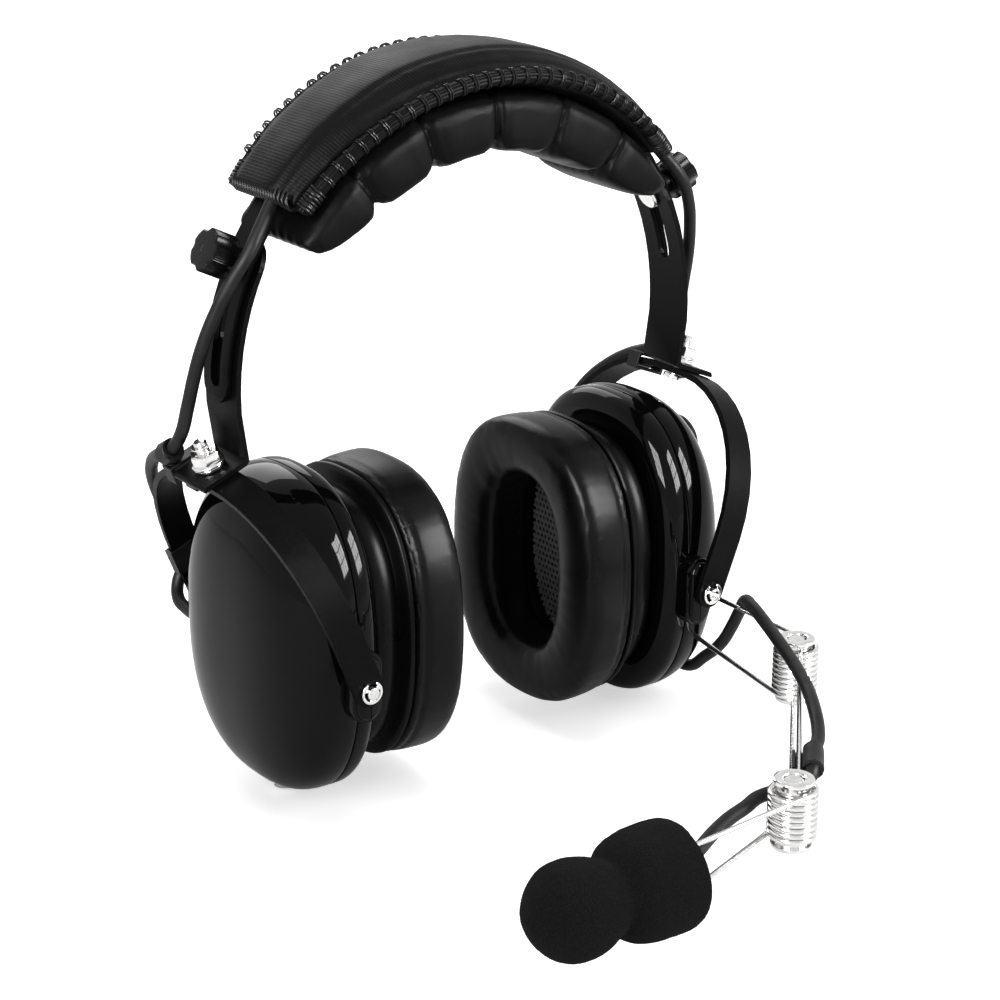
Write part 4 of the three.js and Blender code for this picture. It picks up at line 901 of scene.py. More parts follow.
# %% [markdown]
# ## Push-on clips
# The cups' pivot pins end in small sprung clips of bright steel: a flat ring, open on one side,
# with three teeth that grip the pin and leave curved windows between them. A ring of faces is
# made from a circle, its inner points are pulled in at the teeth, the open part is deleted, and
# Solidify gives the sheet its thickness.

# %% Push-on clips
CLIP_R, CLIP_LEVEL, CLIP_T = 3.5, 46.4 + CLEAR, 0.8
TEETH, TOOTH_HALF, OPEN_HALF = (-90, 30, 150), 17, 27       # in degrees round the clip
TOOTH_R, WINDOW_R = 2.05, 2.7


def push_clip(front, k):
    obj = new_circle(96, radius=CLIP_R * MM)
    open_edit()
    bpy.ops.mesh.extrude_region_move()
    bm = bmesh.from_edit_mesh(obj.data)
    for vert in (v for v in bm.verts if v.select):
        a = math.degrees(math.atan2(vert.co.y, vert.co.x))
        off = min(abs((a - tooth + 180) % 360 - 180) for tooth in TEETH)
        vert.co *= (TOOTH_R if off < TOOTH_HALF else WINDOW_R) / CLIP_R
    for face in bm.faces:
        centre = face.calc_center_median()
        a = math.degrees(math.atan2(centre.y, centre.x))
        face.select = abs(a - 90) < OPEN_HALF
    bmesh.update_edit_mesh(obj.data)
    bpy.ops.mesh.delete(type="FACE")
    close_edit()
    walled(obj, CLIP_T)
    lowest = min(v.co.z for v in obj.data.vertices)
    obj.data.transform(Matrix.Translation((0, 0, -lowest)))
    turn = Matrix(((front, 0, 0, 0), (0, 0, front, 0), (0, 1, 0, 0), (0, 0, 0, 1)))
    obj.data.transform(Matrix.Translation(at(PIVOT_X, front * CLIP_LEVEL, 0)) @ turn)
    only(obj)
    open_edit()
    close_edit()
    return flipped(obj, k)


for side, k in SIDES.items():
    for word, front in (("front", -1), ("rear", 1)):
        plated(push_clip(front, k), f"{side}_cup", f"{side}_{word}_clip", soft_edge=0.14,
               name=f"{side}_{word}_push_clip")
print("4 push-on clips")

# %% [markdown]
# ## Volume knob and cord gland
# The volume knob is a small round dial on the left cup, and the gland is the ribbed grommet
# where the main lead would leave the right cup. Both are turned forms.

# %% Volume knob and gland
VOLUME_BASE, VOLUME_DIR, VOLUME_R = at(84.14, 4.0, 31.0), Vector((0.985, 0.03, 0.17)), 8.5
POINTER_AT, POINTER_STRETCH = (0.0045, 0, 0.0112), 4.2


def volume_dial():
    r = VOLUME_R
    rings = [(1.5, r - 0.4), (1.6, r - 0.1), (1.9, r), (9.4, r - 0.35), (10.4, r - 0.6),
             (11.1, r - 1.1), (11.4, r - 1.8), (11.5, r - 2.6), (11.5, 0.5)]
    dial = grown("dial", circle(96), [(h, w, w) for h, w in rings])
    pointer = turned("pointer", [(0.35, 0), (0.45, 0.1), (0.45, 0.35), (0.35, 0.45)], 16)
    pointer.data.transform(Matrix.Translation(POINTER_AT)
                           @ Matrix.Scale(POINTER_STRETCH, 4, (1, 0, 0)))
    return stand(joined([dial, pointer]), VOLUME_BASE, VOLUME_DIR)


dial = finish(volume_dial(), knob_black, "volume_knob", "satin_black", "volume_knob",
              name="volume_dial")
gland_ribs = [(2.2, 0.9), (2.9, 1.2), (3.0, 1.5), (2.6, 1.7), (2.6, 1.9), (3.0, 2.1), (3.0, 2.5),
              (2.6, 2.7), (2.6, 2.9), (2.9, 3.1), (2.8, 3.45), (2.4, 3.6), (1.9, 3.6), (1.8, 3.0)]
gland = stand(turned("cord_gland", gland_ribs),
              at(-66.0, 0, CUP_Z - SHELL_Z * 0.985), Vector((-0.1, 0, -1)))
plated(gland, "right_cup", "right_cord_gland", name="ribbed_gland")
print(dial.name, gland.name)

# %% [markdown]
# ## Wire boom
# The boom is made of bright spring wire. Each of the first and last links is one wire that runs
# out to a post, coils round it from top to bottom and runs back. The middle link carries both
# posts, with a flange below and a pressed cap above, joined by two straight wires. Wires are
# bevelled curves made into meshes, so every turn of the coils is real.

# %% Boom wires
ROOT, MIC_END, MIC_SPREAD = Vector((72.0, -25.0)), Vector((BELL_X - 6.0, MIC_Y - 1.0)), 2.9
BLOCK_AT, BLOCK_SIZE = (71.4, -24.0), (5, 3.6)  # root block inside the shell's wall
RUN_SPREAD = 6.6                # half the gap between the last link's wires
SHOWN_TURNS = 9                 # the real coils lie closer than the solids' do


def coil_route(centre, toward, sense, steps=28):
    """Turns round a post, from the upper run's level down to the lower run's."""
    line = math.atan2(toward.y - centre.y, toward.x - centre.x)
    off = math.acos(COIL_R / (toward - centre).length)
    sweep = SHOWN_TURNS * 2 * math.pi - 2 * off
    top, low = BOOM_TOP - 0.5, BOOM_LOW + 0.5
    count = round(sweep / (2 * math.pi) * steps)
    for i in range(count + 1):
        a = line + sense * (off + sweep * i / count)
        yield (centre.x + COIL_R * math.cos(a), centre.y + COIL_R * math.sin(a),
               top + (low - top) * i / count)


def wire_mesh(name, route):
    curve = bpy.data.curves.new(name, "CURVE")
    curve.dimensions = "3D"
    spline = curve.splines.new("POLY")
    spline.points.add(len(route) - 1)
    for point, place in zip(spline.points, route):
        point.co = (*at(*place), 1)
    tube(name, curve, WIRE / 2, 3)
    bpy.ops.object.convert(target="MESH")
    return bpy.context.object


def eased(a, b, steps):
    """Points from a to b that leave and arrive level."""
    for i in range(1, steps):
        t = i / steps
        ease = t * t * (3 - 2 * t)
        yield (a[0] + (b[0] - a[0]) * t, a[1] + (b[1] - a[1]) * t, a[2] + (b[2] - a[2]) * ease)


coil_1 = list(coil_route(HINGE_1, ROOT, -1))
upper, lower = (*ROOT, BOOM_TOP), (*ROOT, BOOM_LOW)
first = wire_mesh("first_wire", [upper, *eased(upper, coil_1[0], 8), *coil_1,
                                 *eased(coil_1[-1], lower, 8), lower])
bpy.ops.object.select_all(action="DESELECT")
bpy.ops.mesh.primitive_cube_add(size=MM, location=at(*BLOCK_AT, MIC_Z))
block = bpy.context.object
block.scale = (*BLOCK_SIZE, BOOM_TOP - BOOM_LOW + 6)
bpy.ops.object.transform_apply(location=True, scale=True)
bevel(block, 0.6, 3)
bpy.ops.object.modifier_apply(modifier="Soft edges")
plated(joined([first, block]), "left_cup", "boom_link_1")

coil_2 = list(coil_route(HINGE_2, MIC_END, 1))
ends = [(*MIC_END, MIC_Z + s * MIC_SPREAD) for s in (1, -1)]
turn_in = [(BELL_X + 2.4, MIC_END.y, MIC_Z + s * MIC_SPREAD) for s in (1, -1)]
near = [(BELL_X + 5.2, MIC_END.y + 0.3, MIC_Z + s * RUN_SPREAD) for s in (1, -1)]
last = wire_mesh("last_wire", [ends[0], turn_in[0], near[0], *eased(near[0], coil_2[0], 10),
                               *coil_2, *eased(coil_2[-1], near[1], 10), near[1], turn_in[1],
                               ends[1]])
plated(last, "boom_end", "boom_link_3")
print(len(coil_1), len(coil_2), "points on the coils")

# %% Posts and caps
CAP_R, CAP_T, STUB_R, SHANK_R = 5.8, 1.3, 2.7, 4.7
POST_TOP, POST_LOW = BOOM_TOP + WIRE / 2 + CLEAR, BOOM_LOW - WIRE / 2 - CLEAR
stub_top = POST_TOP + CLEAR + CAP_T - 0.5
post = [(CAP_R - 1.4, POST_LOW - CAP_T - 0.1), (CAP_R - 0.5, POST_LOW - CAP_T),
        (CAP_R - 0.1, POST_LOW - CAP_T + 0.2), (CAP_R, POST_LOW - CAP_T + 0.6),
        (CAP_R, POST_LOW - 0.1), (CAP_R - 0.1, POST_LOW), (SHANK_R, POST_LOW), (SHANK_R, POST_TOP),
        (STUB_R, POST_TOP), (STUB_R, stub_top - 0.25), (STUB_R - 0.25, stub_top)]
middle = []
for hinge in (HINGE_1, HINGE_2):
    middle.append(stand(turned("post", post, 56), at(*hinge, 0), (0, 0, 1)))
length = (HINGE_2 - HINGE_1).length
for name, side, z in (("upper", 1.3, BOOM_TOP), ("lower", -0.2, BOOM_LOW)):
    run = [by_link(along, side, z) for along in (SHANK_R - 2, length / 2, length - SHANK_R + 2)]
    middle.append(wire_mesh(name, run))
plated(joined(middle), "boom_middle", "boom_link_2", name="posts")
cap_base = POST_TOP + CLEAR
bore = STUB_R + CLEAR
cap = [(bore, cap_base), (CAP_R - 0.2, cap_base), (CAP_R, cap_base + 0.2),
       (CAP_R, cap_base + CAP_T - 0.5), (CAP_R - 0.15, cap_base + CAP_T - 0.15),
       (CAP_R - 0.5, cap_base + CAP_T), (bore + 0.6, cap_base + CAP_T),
       (bore + 0.2, cap_base + CAP_T - 0.15), (bore, cap_base + CAP_T - 0.5), (bore, cap_base)]
for n, hinge in ((1, HINGE_1), (2, HINGE_2)):
    ring = stand(turned(f"cap_{n}", cap, 56, loop=True), at(*hinge, 0), (0, 0, 1))
    plated(ring, "boom_middle", f"boom_cap_{n}")
clip = refined("boom_cable_clip", black_rubber, "black_rubber", 0.2)
print("posts, caps and", clip.name)

# %% [markdown]
# ## Microphone muff
# The muff is a pulled-over foam cover: a bell round the housing, a neck, and a ball at the tip.
# Its profile is turned, subdivided, and then every point is pushed in or out by fractal noise,
# which gives foam its broken outline; the material adds the finest cells.

# %% Foam muff
def pushed(obj, amount):
    """Move every point along its normal; amount takes millimetres and gives millimetres."""
    normals = [v.normal.copy() for v in obj.data.vertices]
    for vert, normal in zip(obj.data.vertices, normals):
        vert.co += normal * (amount(vert.co * 1000) * MM)
    obj.data.update()
    return obj


BALL_R, BALL_AT = 13.6, 34.8
MUFF = [(13.4, 0.0), (14.7, 0.8), (15.3, 2.6), (15.5, 5.5), (15.4, 10.5), (15.0, 15.0),
        (14.0, 18.6), (12.0, 21.2), (10.2, 22.9), (10.4, 24.2), (12.0, 27.4), (13.3, 31.2),
        (BALL_R, BALL_AT)]
BORE_R, BORE_END = 7.5, -60     # round the housing the foam stays smooth


def muff():
    profile = list(MUFF)
    for i in range(1, 10):
        a = math.pi / 2 * i / 9.5
        profile.append((BALL_R * math.cos(a), BALL_AT + BALL_R * math.sin(a)))
    obj = grown("muff", circle(72), [(h, r, r) for r, h in
                                     [(6.8, 20.0), (6.8, 0.6), (8.0, 0.0), *profile]])
    applied(obj, "SUBSURF", levels=2, render_levels=2)
    stand(obj, at(BELL_X, MIC_Y, MIC_Z), (-1, 0, 0))
    axis = at(0, MIC_Y, MIC_Z)

    def crumbs(p):
        """How far a point of the foam stands out, in millimetres."""
        if math.hypot(p.y - axis.y * 1000, p.z - axis.z * 1000) < BORE_R and p.x > BORE_END:
            return 0.0
        return (0.22 * noise.fractal(p * 0.1, 0.8, 2.0, 3)
                + 0.09 * noise.fractal(p * 1.6, 0.7, 2.1, 3) - 0.1)

    return pushed(obj, crumbs)


foam_muff = finish(muff(), foam, "boom_end", "black_foam", "mic_muff", name="foam_muff")
print("muff", len(foam_muff.data.polygons), "faces")

# %% [markdown]
# ## Ear seals
# A seal is a padded ring of soft leatherette. Its section is drawn a little smaller than the
# cushion, remeshed, and blown up by cloth pressure, so that it bulges as foam under a skin does.
# A cap on how far each point may move keeps it inside its space, then one subdivision smooths
# it. Both seals are the same part, so it is made once and mirrored.

# %% Padding helper
def puff(obj, voxel_mm, cap_mm, pressure, frames=20, keep=None):
    """Swell a closed mesh by cloth pressure, moving no point further than the cap. keep says
    which share of its motion a point keeps."""
    applied(obj, "REMESH", mode="VOXEL", voxel_size=voxel_mm * MM)
    rest = [v.co.copy() for v in obj.data.vertices]
    cloth = obj.modifiers.new("Padding", "CLOTH")
    cloth.settings.use_pressure = True
    cloth.settings.uniform_pressure_force = pressure
    cloth.settings.effector_weights.gravity = 0
    cloth.settings.quality = 5
    cloth.point_cache.frame_start, cloth.point_cache.frame_end = 1, frames
    for frame_number in range(1, frames + 1):
        bpy.context.scene.frame_set(frame_number)
    bpy.ops.object.modifier_apply(modifier="Padding")
    bpy.context.scene.frame_set(1)
    moved = 0
    for vert, place in zip(obj.data.vertices, rest):
        step = vert.co - place
        if keep:
            step *= keep(place)
        if step.length > cap_mm * MM:
            step *= cap_mm * MM / step.length
        vert.co = place + step
        moved = max(moved, step.length)
    applied(obj, "SUBSURF", levels=1, render_levels=1)
    print(obj.name, "swelled by", round(moved * 1000, 2), "mm at most")
    return obj


# %% Ear seals
def seal_form():
    d, h, b, f = SEAL_Y, SEAL_Z, SEAL_BACK, SEAL_FACE + 0.4
    hd, hh = HOLE_Y, HOLE_Z
    rings = [(b, d - 2.0, h - 2.1), (b - 2.2, d - 0.9, h - 1.0), (b - 6.5, d - 0.4, h - 0.4),
             (f + 5.0, d - 0.1, h - 0.1), (f + 2.0, d - 0.6, h - 0.6), (f + 0.7, d - 1.9, h - 2.0),
             (f, d - 4.6, h - 4.8), (f, hd + 6.4, hh + 6.6), (f + 0.8, hd + 3.4, hh + 3.6),
             (f + 3.4, hd + 0.7, hh + 0.8), (b - 6, hd + 0.3, hh + 0.4), (b, hd + 3.0, hh + 3.2),
             (b, d - 2.0, h - 2.1)]
    return stand_oval(grown("seal", oval(96), rings, loop=True))


WELT_X, SEAM_LINE_X = 39.9, 38.2


def hump(value, middle, width):
    """A soft hump of height 1 about the middle."""
    return math.exp(-((value - middle) / width) ** 2)


def seal_detail(p):
    """The welt against the ring, the seam beside it, and shallow creases round the opening."""
    level, y, z = abs(p.x), p.y, p.z + CROWN - CUP_Z
    reach = (abs(y / SEAL_Y) ** OVAL_POWER + abs(z / SEAL_Z) ** OVAL_POWER) ** (1 / OVAL_POWER)
    rise = 0.0
    if reach > 0.85:
        rise += 0.45 * hump(level, WELT_X, 0.7) - 0.4 * hump(level, SEAM_LINE_X, 0.6)
    turn = math.atan2(z, y)
    spot = Vector((9 * math.cos(turn), 9 * math.sin(turn), p.x * 0.05))
    rise += 0.16 * noise.fractal(spot, 0.7, 2.0, 2) * hump(reach, 0.62, 0.16)
    return rise + 0.07 * noise.fractal(p * 0.045, 0.8, 2.0, 2)


def seal_keep(p):
    """The back stays flat against the ring."""
    return min(1.0, (SEAL_BACK - p.x * 1000) / 3)


seal = puff(seal_form(), 2.0, 1.0, pressure=14.0, keep=seal_keep)
pushed(seal, seal_detail)
for side, k in SIDES.items():
    cushion = seal if k > 0 else flipped(linked("seal_copy", seal.data.copy()), k)
    finish(cushion, seal_leather, f"{side}_cup", "leather_black", f"{side}_seal",
           name=f"{side}_ear_cushion")
    xs = [v.co.x * 1000 for v in cushion.data.vertices]
    print(cushion.name, round(min(xs), 1), round(max(xs), 1))

# %% [markdown]
# ## Head band cover
# The cover is a padded sleeve of leatherette round the spring: broad and flat on top, rolled
# over towards its edges, sewn to a round piping along each of them. A section is carried
# along the arc in rings, blown up a little by cloth pressure, and the lengthwise crease over
# the hidden cable is pressed in afterwards.

# %% Head band cover
COVER_TOP, COVER_UNDER, PIPING_R = 7.0, 4.6, 2.3
HALF_MID, HALF_END = 21.5, 16.5


def piping_y(degrees):
    """Half the distance between the pipings, which is less towards the ends."""
    along = abs((degrees - 90) / (90 - COVER_END))
    return HALF_MID - (HALF_MID - HALF_END) * along ** 2.2


def spread(count):
    """Angles from one end of the cover to the other."""
    return [COVER_END + (180 - 2 * COVER_END) * i / count for i in range(count + 1)]


def arc_strip(name, section, degrees_list):
    """A closed sleeve through rings of (y, radius) points set along the arc."""
    old = [on_arc(r, degrees_list[0], y) for y, r in section(degrees_list[0])]
    obj = new_circle(len(old), "NGON", radius=0.01)
    obj.name = obj.data.name = name
    for vert, place in zip(obj.data.vertices, old):
        vert.co = place
    open_edit()
    for degrees in degrees_list[1:]:
        bpy.ops.mesh.extrude_region_move()
        bm = bmesh.from_edit_mesh(obj.data)
        new = [on_arc(r, degrees, y) for y, r in section(degrees)]
        for vert in [v for v in bm.verts if v.select]:
            nearest = min(range(len(old)), key=lambda i: (old[i] - vert.co).length_squared)
            vert.co = new[nearest]
        bmesh.update_edit_mesh(obj.data)
        old = new
    close_edit()
    return obj


def cover_section(degrees):
    w = piping_y(degrees) - PIPING_R - CLEAR - 0.3
    top, under = BAND_R + COVER_TOP - 0.5, BAND_R - COVER_UNDER + 0.3
    return [(-w + 1.0, under + 0.6), (-w, under + 2.2), (-w + 0.2, BAND_R + 0.6),
            (-0.94 * w, BAND_R + 2.0), (-0.8 * w, BAND_R + 3.9), (-0.62 * w, top - 1.1),
            (-0.5 * w, top - 0.25), (-0.3 * w, top), (0.0, top + 0.1), (0.3 * w, top),
            (0.6 * w, top - 0.05), (0.85 * w, top - 0.2), (w - 0.7, top - 1.0), (w, top - 3),
            (w, under + 2.4), (w - 1.0, under + 0.6), (0.5 * w, under), (0.0, under),
            (-0.5 * w, under)]


cover = puff(arc_strip("cover", cover_section, spread(40)), 1.9, 0.8, pressure=8.0)
CREASE_Y = -9.0                 # the crease over the hidden cable


def on_band(p):
    """The radius and the angle on the band's arc of a point in millimetres."""
    z = p.z + CROWN - ARC
    return math.hypot(p.x, z), math.degrees(math.atan2(z, p.x))


def cover_detail(p):
    """The crease, the lower strip beside it, the welts and a slow waviness, on the top only."""
    r, a = on_band(p)
    if r < BAND_R + 1.5:
        return 0.0
    inward = piping_y(a) - PIPING_R - CLEAR - abs(p.y)
    crease = -0.55 * hump(p.y, CREASE_Y, 1.2)
    slope = -0.5 * max(0.0, min(1.0, (CREASE_Y - p.y) / 3.0))
    welt = 0.45 * hump(inward, 0.9, 0.55) - 0.3 * hump(inward, 2.3, 0.7)
    soft = 0.1 * noise.fractal(Vector((a * 0.2, p.y * 0.05, 0.0)), 0.8, 2.0, 2)
    return crease + slope + welt + soft


pushed(cover, cover_detail)
finish(cover, cover_cloth, "band", "leather_black", "band_cover", name="band_sleeve")

# %% [markdown]
# ## Head pad
# Under the cover hang six puffed cells of satin leatherette, parted by channels sewn right
# through. The cells are blown up together by cloth pressure; the seams in the channels, which
# remeshing would lose, are pulled in afterwards as thin grooves.

# %% Head pad
PAD_ENDS, PAD_CELLS, PAD_INNER, PAD_HALF, PAD_CHANNEL, PAD_RISE = 33, 6, 62.6, 21.5, 5.0, 9.0
PAD_SQUARE = 0.36               # the lower, the squarer a cell's section
CELL = (180 - 2 * PAD_ENDS) / PAD_CELLS


def pad_section(degrees):
    t = ((degrees - PAD_ENDS) / CELL) % 1.0
    if degrees >= 180 - PAD_ENDS - 1e-6:
        t = 0.0
    along = abs(degrees - 90) / (90 - PAD_ENDS)
    puffed = max(0.0, 1 - abs(2 * t - 1) ** 6) ** 0.5
    back = BAND_R - COVER_UNDER - 0.4 - 0.3
    inner = PAD_INNER + 0.3 + PAD_RISE * along ** 6 + (PAD_CHANNEL + 3) * (1 - puffed)
    half = PAD_HALF - 0.1 - 1.6 * along - 3.4 * (1 - puffed)
    mid, thick = (back + inner) / 2, (back - inner) / 2
    return [(half * math.copysign(abs(x) ** PAD_SQUARE, x),
             mid + thick * math.copysign(abs(y) ** PAD_SQUARE, y)) for x, y in circle(28)]


def from_channel(a, r):
    """Distance along the arc to the nearest sewn channel."""
    return abs((a - PAD_ENDS + CELL / 2) % CELL - CELL / 2) / 57.3 * r


def pad_detail(p):
    r, a = on_band(p)
    near = from_channel(a, r)
    seam = -0.8 * hump(near, 0.0, 0.8)
    gather = 0.14 * math.sin(p.y * 1.5 + 1.7 * a) * hump(near, 2.0, 1.6)
    soft = noise.fractal(Vector((a * 0.15, p.y * 0.05, r * 0.05)), 0.9, 2.0, 2)
    return seam + gather + 0.1 * soft


stations = []
for cell in range(PAD_CELLS):
    stations += [PAD_ENDS + CELL * (cell + t)
                 for t in (0, 0.025, 0.06, 0.12, 0.22, 0.36, 0.5, 0.64, 0.78, 0.88, 0.94, 0.975)]
stations.append(180 - PAD_ENDS)


def pad_keep(p):
    r, a = on_band(p * 1000)
    return min(1.0, 0.15 + from_channel(a, r) / 4)


pad = puff(arc_strip("pad", pad_section, stations), 1.5, 1.2, pressure=8.0, keep=pad_keep)
pushed(pad, pad_detail)
finish(pad, pad_leather, "band", "leather_black", "head_pad", name="padded_cells")

# %% [markdown]
# ## Pipings and ladder stitches
# Along both edges of the cover runs a piping with soft ridges, laced to it with waxed double
# thread: a ladder of short bars that wrap most of the piping. A bar is a pair of threads, each a
# small circle spun round the roll, and it is copied along the edge. The rear bars are a little
# thicker than the front ones. Near both ends, where the lacing is finished off, heavier bars lie
# close together, and single threads bind the ends of the cover itself.

# %% Pipings
def piping_place(degrees, front):
    return BAND_R + (0.0 if front < 0 else 2.0), front * piping_y(degrees)


def roll_section(degrees, front):
    """A circle with eight soft ridges that run along the roll, in millimetres."""
    r, y = piping_place(degrees, front)
    ring = []
    for cx, cy in circle(40):
        ridge = 0.22 * abs(math.sin(4 * math.atan2(cy, cx))) ** 0.7
        far = PIPING_R - 0.36 + ridge
        ring.append((y + cx * far, r + cy * far))
    return ring


for word, front in (("front", -1), ("rear", 1)):
    piping = arc_strip(f"{word}_edge_roll", lambda a: roll_section(a, front),
                       spread(150))
    finish(piping, pad_leather, "band", "leather_black", f"{word}_piping")
    print(piping.name, len(piping.data.polygons))


# %% Ladder stitches
def stitch_bar(radius, thick, apart, around=235, threads=2):
    """Threads wrapped side by side round most of a roll, in millimetres."""
    bars = []
    for n in range(threads):
        offset = (n - (threads - 1) / 2) * 2 * apart
        bar = new_circle(8, radius=thick, location=(radius, 0, offset),
                         rotation=(math.pi / 2, 0, 0))
        bpy.ops.object.transform_apply(location=True, rotation=True)
        open_edit()
        bpy.ops.mesh.spin(steps=14, angle=-math.radians(around), center=(0, 0, 0),
                          axis=(0, 0, 1))
        close_edit()
        bars.append(bar)
    return joined(bars)


def copy_at(form, name, turn, place):
    """A copy of a thread form with its own mesh, turned and set in its place."""
    copy = linked(name, form.data.copy())
    copy.data.transform(Matrix.Translation(place) @ turn.to_4x4() @ Matrix.Scale(MM, 4))
    return copy


bars = {-1: stitch_bar(PIPING_R + 0.06, 0.28, 0.38), 1: stitch_bar(PIPING_R + 0.9, 0.32, 0.44)}
wrap = stitch_bar(PIPING_R + 0.15, 0.42, 0.5)
binding = stitch_bar(2.4, 0.5, 0.0, around=225, threads=1)
STITCH, CLOSE, END_ZONE = 3.0, 1.15, 6     # steps of the lacing and its end zones, in degrees
TANGENT_STEP = 0.5


def from_end(degrees):
    return min(degrees - COVER_END, 180 - COVER_END - degrees)


for word, front in (("front", -1), ("rear", 1)):
    places = []
    a = COVER_END + 1.2
    while a < 180 - COVER_END - 1.0:
        places.append(a)
        a += CLOSE if from_end(a) < END_ZONE else STITCH
    laced = []
    for n, degrees in enumerate(places):
        form = wrap if from_end(degrees) < END_ZONE else bars[front]
        here, ahead = (on_arc(r, d, y) for d in (degrees, degrees + TANGENT_STEP)
                       for r, y in [piping_place(d, front)])
        tangent = (ahead - here).normalized()
        outward = Vector((math.cos(math.radians(degrees)), 0, math.sin(math.radians(degrees))))
        across = tangent.cross(outward).normalized()
        outward = across.cross(tangent).normalized()
        turn = Matrix((outward, across, tangent)).transposed()
        start = math.radians(-60 if front * across.y > 0 else -175)
        lean = Matrix.Rotation(0.12 * math.sin(n * 2.4), 3, "X")
        spin = Matrix.Rotation(start + 0.1 * math.sin(n * 1.7), 3, "Z")
        laced.append(copy_at(form, "stitch", turn @ spin @ lean, here))
    threads = finish(joined(laced), thread, "band", "leather_black",
                     name=f"{word}_ladder_stitches")
    print(threads.name, len(places), "bars", len(threads.data.polygons), "faces")

# %% End bindings
BINDING_PITCH, BINDING_INSET, BINDING_SLANT = 1.35, 1.4, math.radians(24)
for word, degrees, away in (("left", COVER_END, -1), ("right", 180 - COVER_END, 1)):
    a = math.radians(degrees)
    outward = Vector((math.cos(a), 0, math.sin(a)))
    beyond = Vector((-math.sin(a), 0, math.cos(a))) * away
    turn = Matrix((outward, beyond, outward.cross(beyond))).transposed()
    slant = Matrix.Rotation(BINDING_SLANT, 3, outward)
    start = Matrix.Rotation(math.radians(-35), 3, "Z")
    half = piping_y(degrees) - PIPING_R - 1.2
    count = int(2 * half / BINDING_PITCH)
    bound = []
    for n in range(count + 1):
        y = -half + 2 * half * n / count
        drop = 2.4 * max(0.0, (-y - 9) / 6)
        place = on_arc(BAND_R + COVER_TOP - 3.2 - drop, degrees, y) - beyond * (BINDING_INSET * MM)
        bound.append(copy_at(binding, "binding", slant @ turn @ start, place))
    bound = finish(joined(bound), thread, "band", "leather_black", name=f"{word}_end_binding")
    print(bound.name, count + 1, "wraps", len(bound.data.polygons), "faces")
for form in (*bars.values(), wrap, binding):
    bpy.data.objects.remove(form)

# %% [markdown]
# ## Floor, light and view
# The photograph has a pure white ground. A large pale plane catches the object's shadow and
# shines white to the camera alone. Soft lamps give the light. Gloss black shows little but the
# shapes it reflects, so two windows made of panes stand beside the object: they are seen by
# shiny surfaces and light nothing. The world is white near the horizon and darker above.

# %% Floor
FLOOR = cad_box[0][2] - 0.0005
FLOOR_SIZE, CAMERA_LIFT = 2.6, 0.55     # the lift is light that only the camera sees
bpy.ops.object.select_all(action="DESELECT")
bpy.ops.mesh.primitive_plane_add(size=FLOOR_SIZE, location=(0, 0, FLOOR))
floor = bpy.context.object
floor.name = "floor"
paper, tree, shader = new_material("white_paper", (0.9, 0.9, 0.9), rough=0.9, specular=0.1)
vary(tree, shader, "Base Color", clouds(tree, 40, Detail=3), 0.3, 0.7, (0.88, 0.88, 0.88),
     (0.92, 0.92, 0.92))
rays = tree.nodes.new("ShaderNodeLightPath").outputs
shader.inputs["Emission Color"].default_value = (1, 1, 1, 1)
tree.links.new(maths(tree, "MULTIPLY", rays["Is Camera Ray"], CAMERA_LIFT),
               shader.inputs["Emission Strength"])
dress(floor, paper)
print("floor at", round(FLOOR, 4))


# %% Lamps and windows
CENTRE = Vector((0, -0.03, -0.08))
GLASS, PANE_POWER = (0.86, 0.9), 6.5    # the glass's share of a pane's width and height


def pane(name, place, aim_at, width, height, power, seen_in="both"):
    light = bpy.data.lights.new(name, "AREA")
    light.shape = "RECTANGLE"
    light.size, light.size_y = width, height
    light.energy = power
    obj = linked(name, light)
    obj.location = place
    obj.rotation_euler = (Vector(aim_at) - Vector(place)).to_track_quat("-Z", "Y").to_euler()
    obj.visible_diffuse = seen_in != "shine"
    obj.visible_glossy = seen_in != "light"


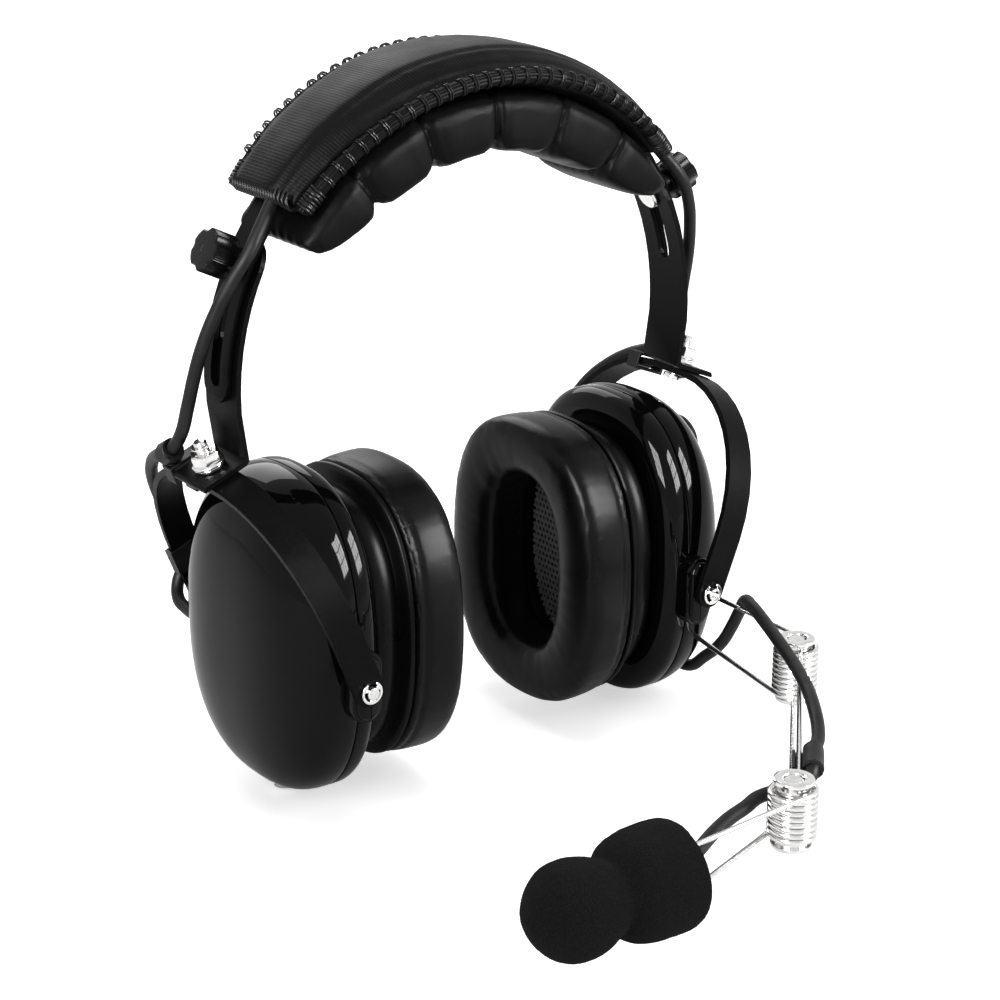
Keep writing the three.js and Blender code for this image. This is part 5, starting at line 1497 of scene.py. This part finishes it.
def window(name, place, columns, rows, wide, high, power):
    """Panes in a grid with dark bars between them, all facing the object."""
    away = (Vector(place) - CENTRE).normalized()
    across = Vector((0, 0, 1)).cross(away).normalized()
    up = away.cross(across)
    for i in range(columns):
        for j in range(rows):
            right, rise = (i - (columns - 1) / 2) * wide, (j - (rows - 1) / 2) * high
            spot = Vector(place) + (across * right + up * rise)
            pane(f"{name}_{i}_{j}", spot, spot - away, wide * GLASS[0], high * GLASS[1], power,
                 seen_in="shine")


pane("overhead", (0.1, 0.1, 1.5), CENTRE, 1.2, 1.2, 17, seen_in="light")
pane("left_soft", (-1.5, -0.8, 0.9), CENTRE, 0.9, 0.9, 10, seen_in="light")
pane("right_soft", (1.2, -1.1, 0.8), CENTRE, 0.9, 0.9, 10, seen_in="light")
pane("back_rim", (0.3, 1.3, 0.7), CENTRE, 1.0, 0.8, 9)
for name, place in (("left_window", (-1.25, -0.6, 0.5)), ("right_window", (0.85, -1.2, 0.55))):
    window(name, place, 3, 3, 0.24, 0.28, PANE_POWER)

# %% World and view
world = bpy.data.worlds.new("studio")
bpy.context.scene.world = world
world.use_nodes = True
tree = world.node_tree
background = tree.nodes["Background"]
background.inputs["Color"].default_value = (1, 1, 1, 1)
coord = tree.nodes.new("ShaderNodeTexCoord")
height = tree.nodes.new("ShaderNodeSeparateXYZ")
tree.links.new(coord.outputs["Generated"], height.inputs["Vector"])


def span(value, **ends):
    """Map a value from 0 to 1, or as the ends say, to the range that they give."""
    node = tree.nodes.new("ShaderNodeMapRange")
    for key, end in {"Value": value, **ends}.items():
        socket = node.inputs[key.replace("_", " ")]
        if isinstance(end, float):
            socket.default_value = end
        else:
            tree.links.new(end, socket)
    return node.outputs["Result"]


shade = span(height.outputs["Z"], From_Min=0.0, From_Max=0.7, To_Min=0.95, To_Max=0.75)
rays = tree.nodes.new("ShaderNodeLightPath").outputs
seen = maths(tree, "MAXIMUM", rays["Is Camera Ray"], rays["Is Transmission Ray"])
shiny = span(rays["Is Glossy Ray"], To_Min=0.35, To_Max=shade)
tree.links.new(span(seen, To_Min=shiny, To_Max=1.0), background.inputs["Strength"])
bpy.context.scene.view_settings.view_transform = "Standard"
print("world:", background.inputs["Strength"].links[0].from_node.type)


# %% Finish
bpy.context.view_layer.update()
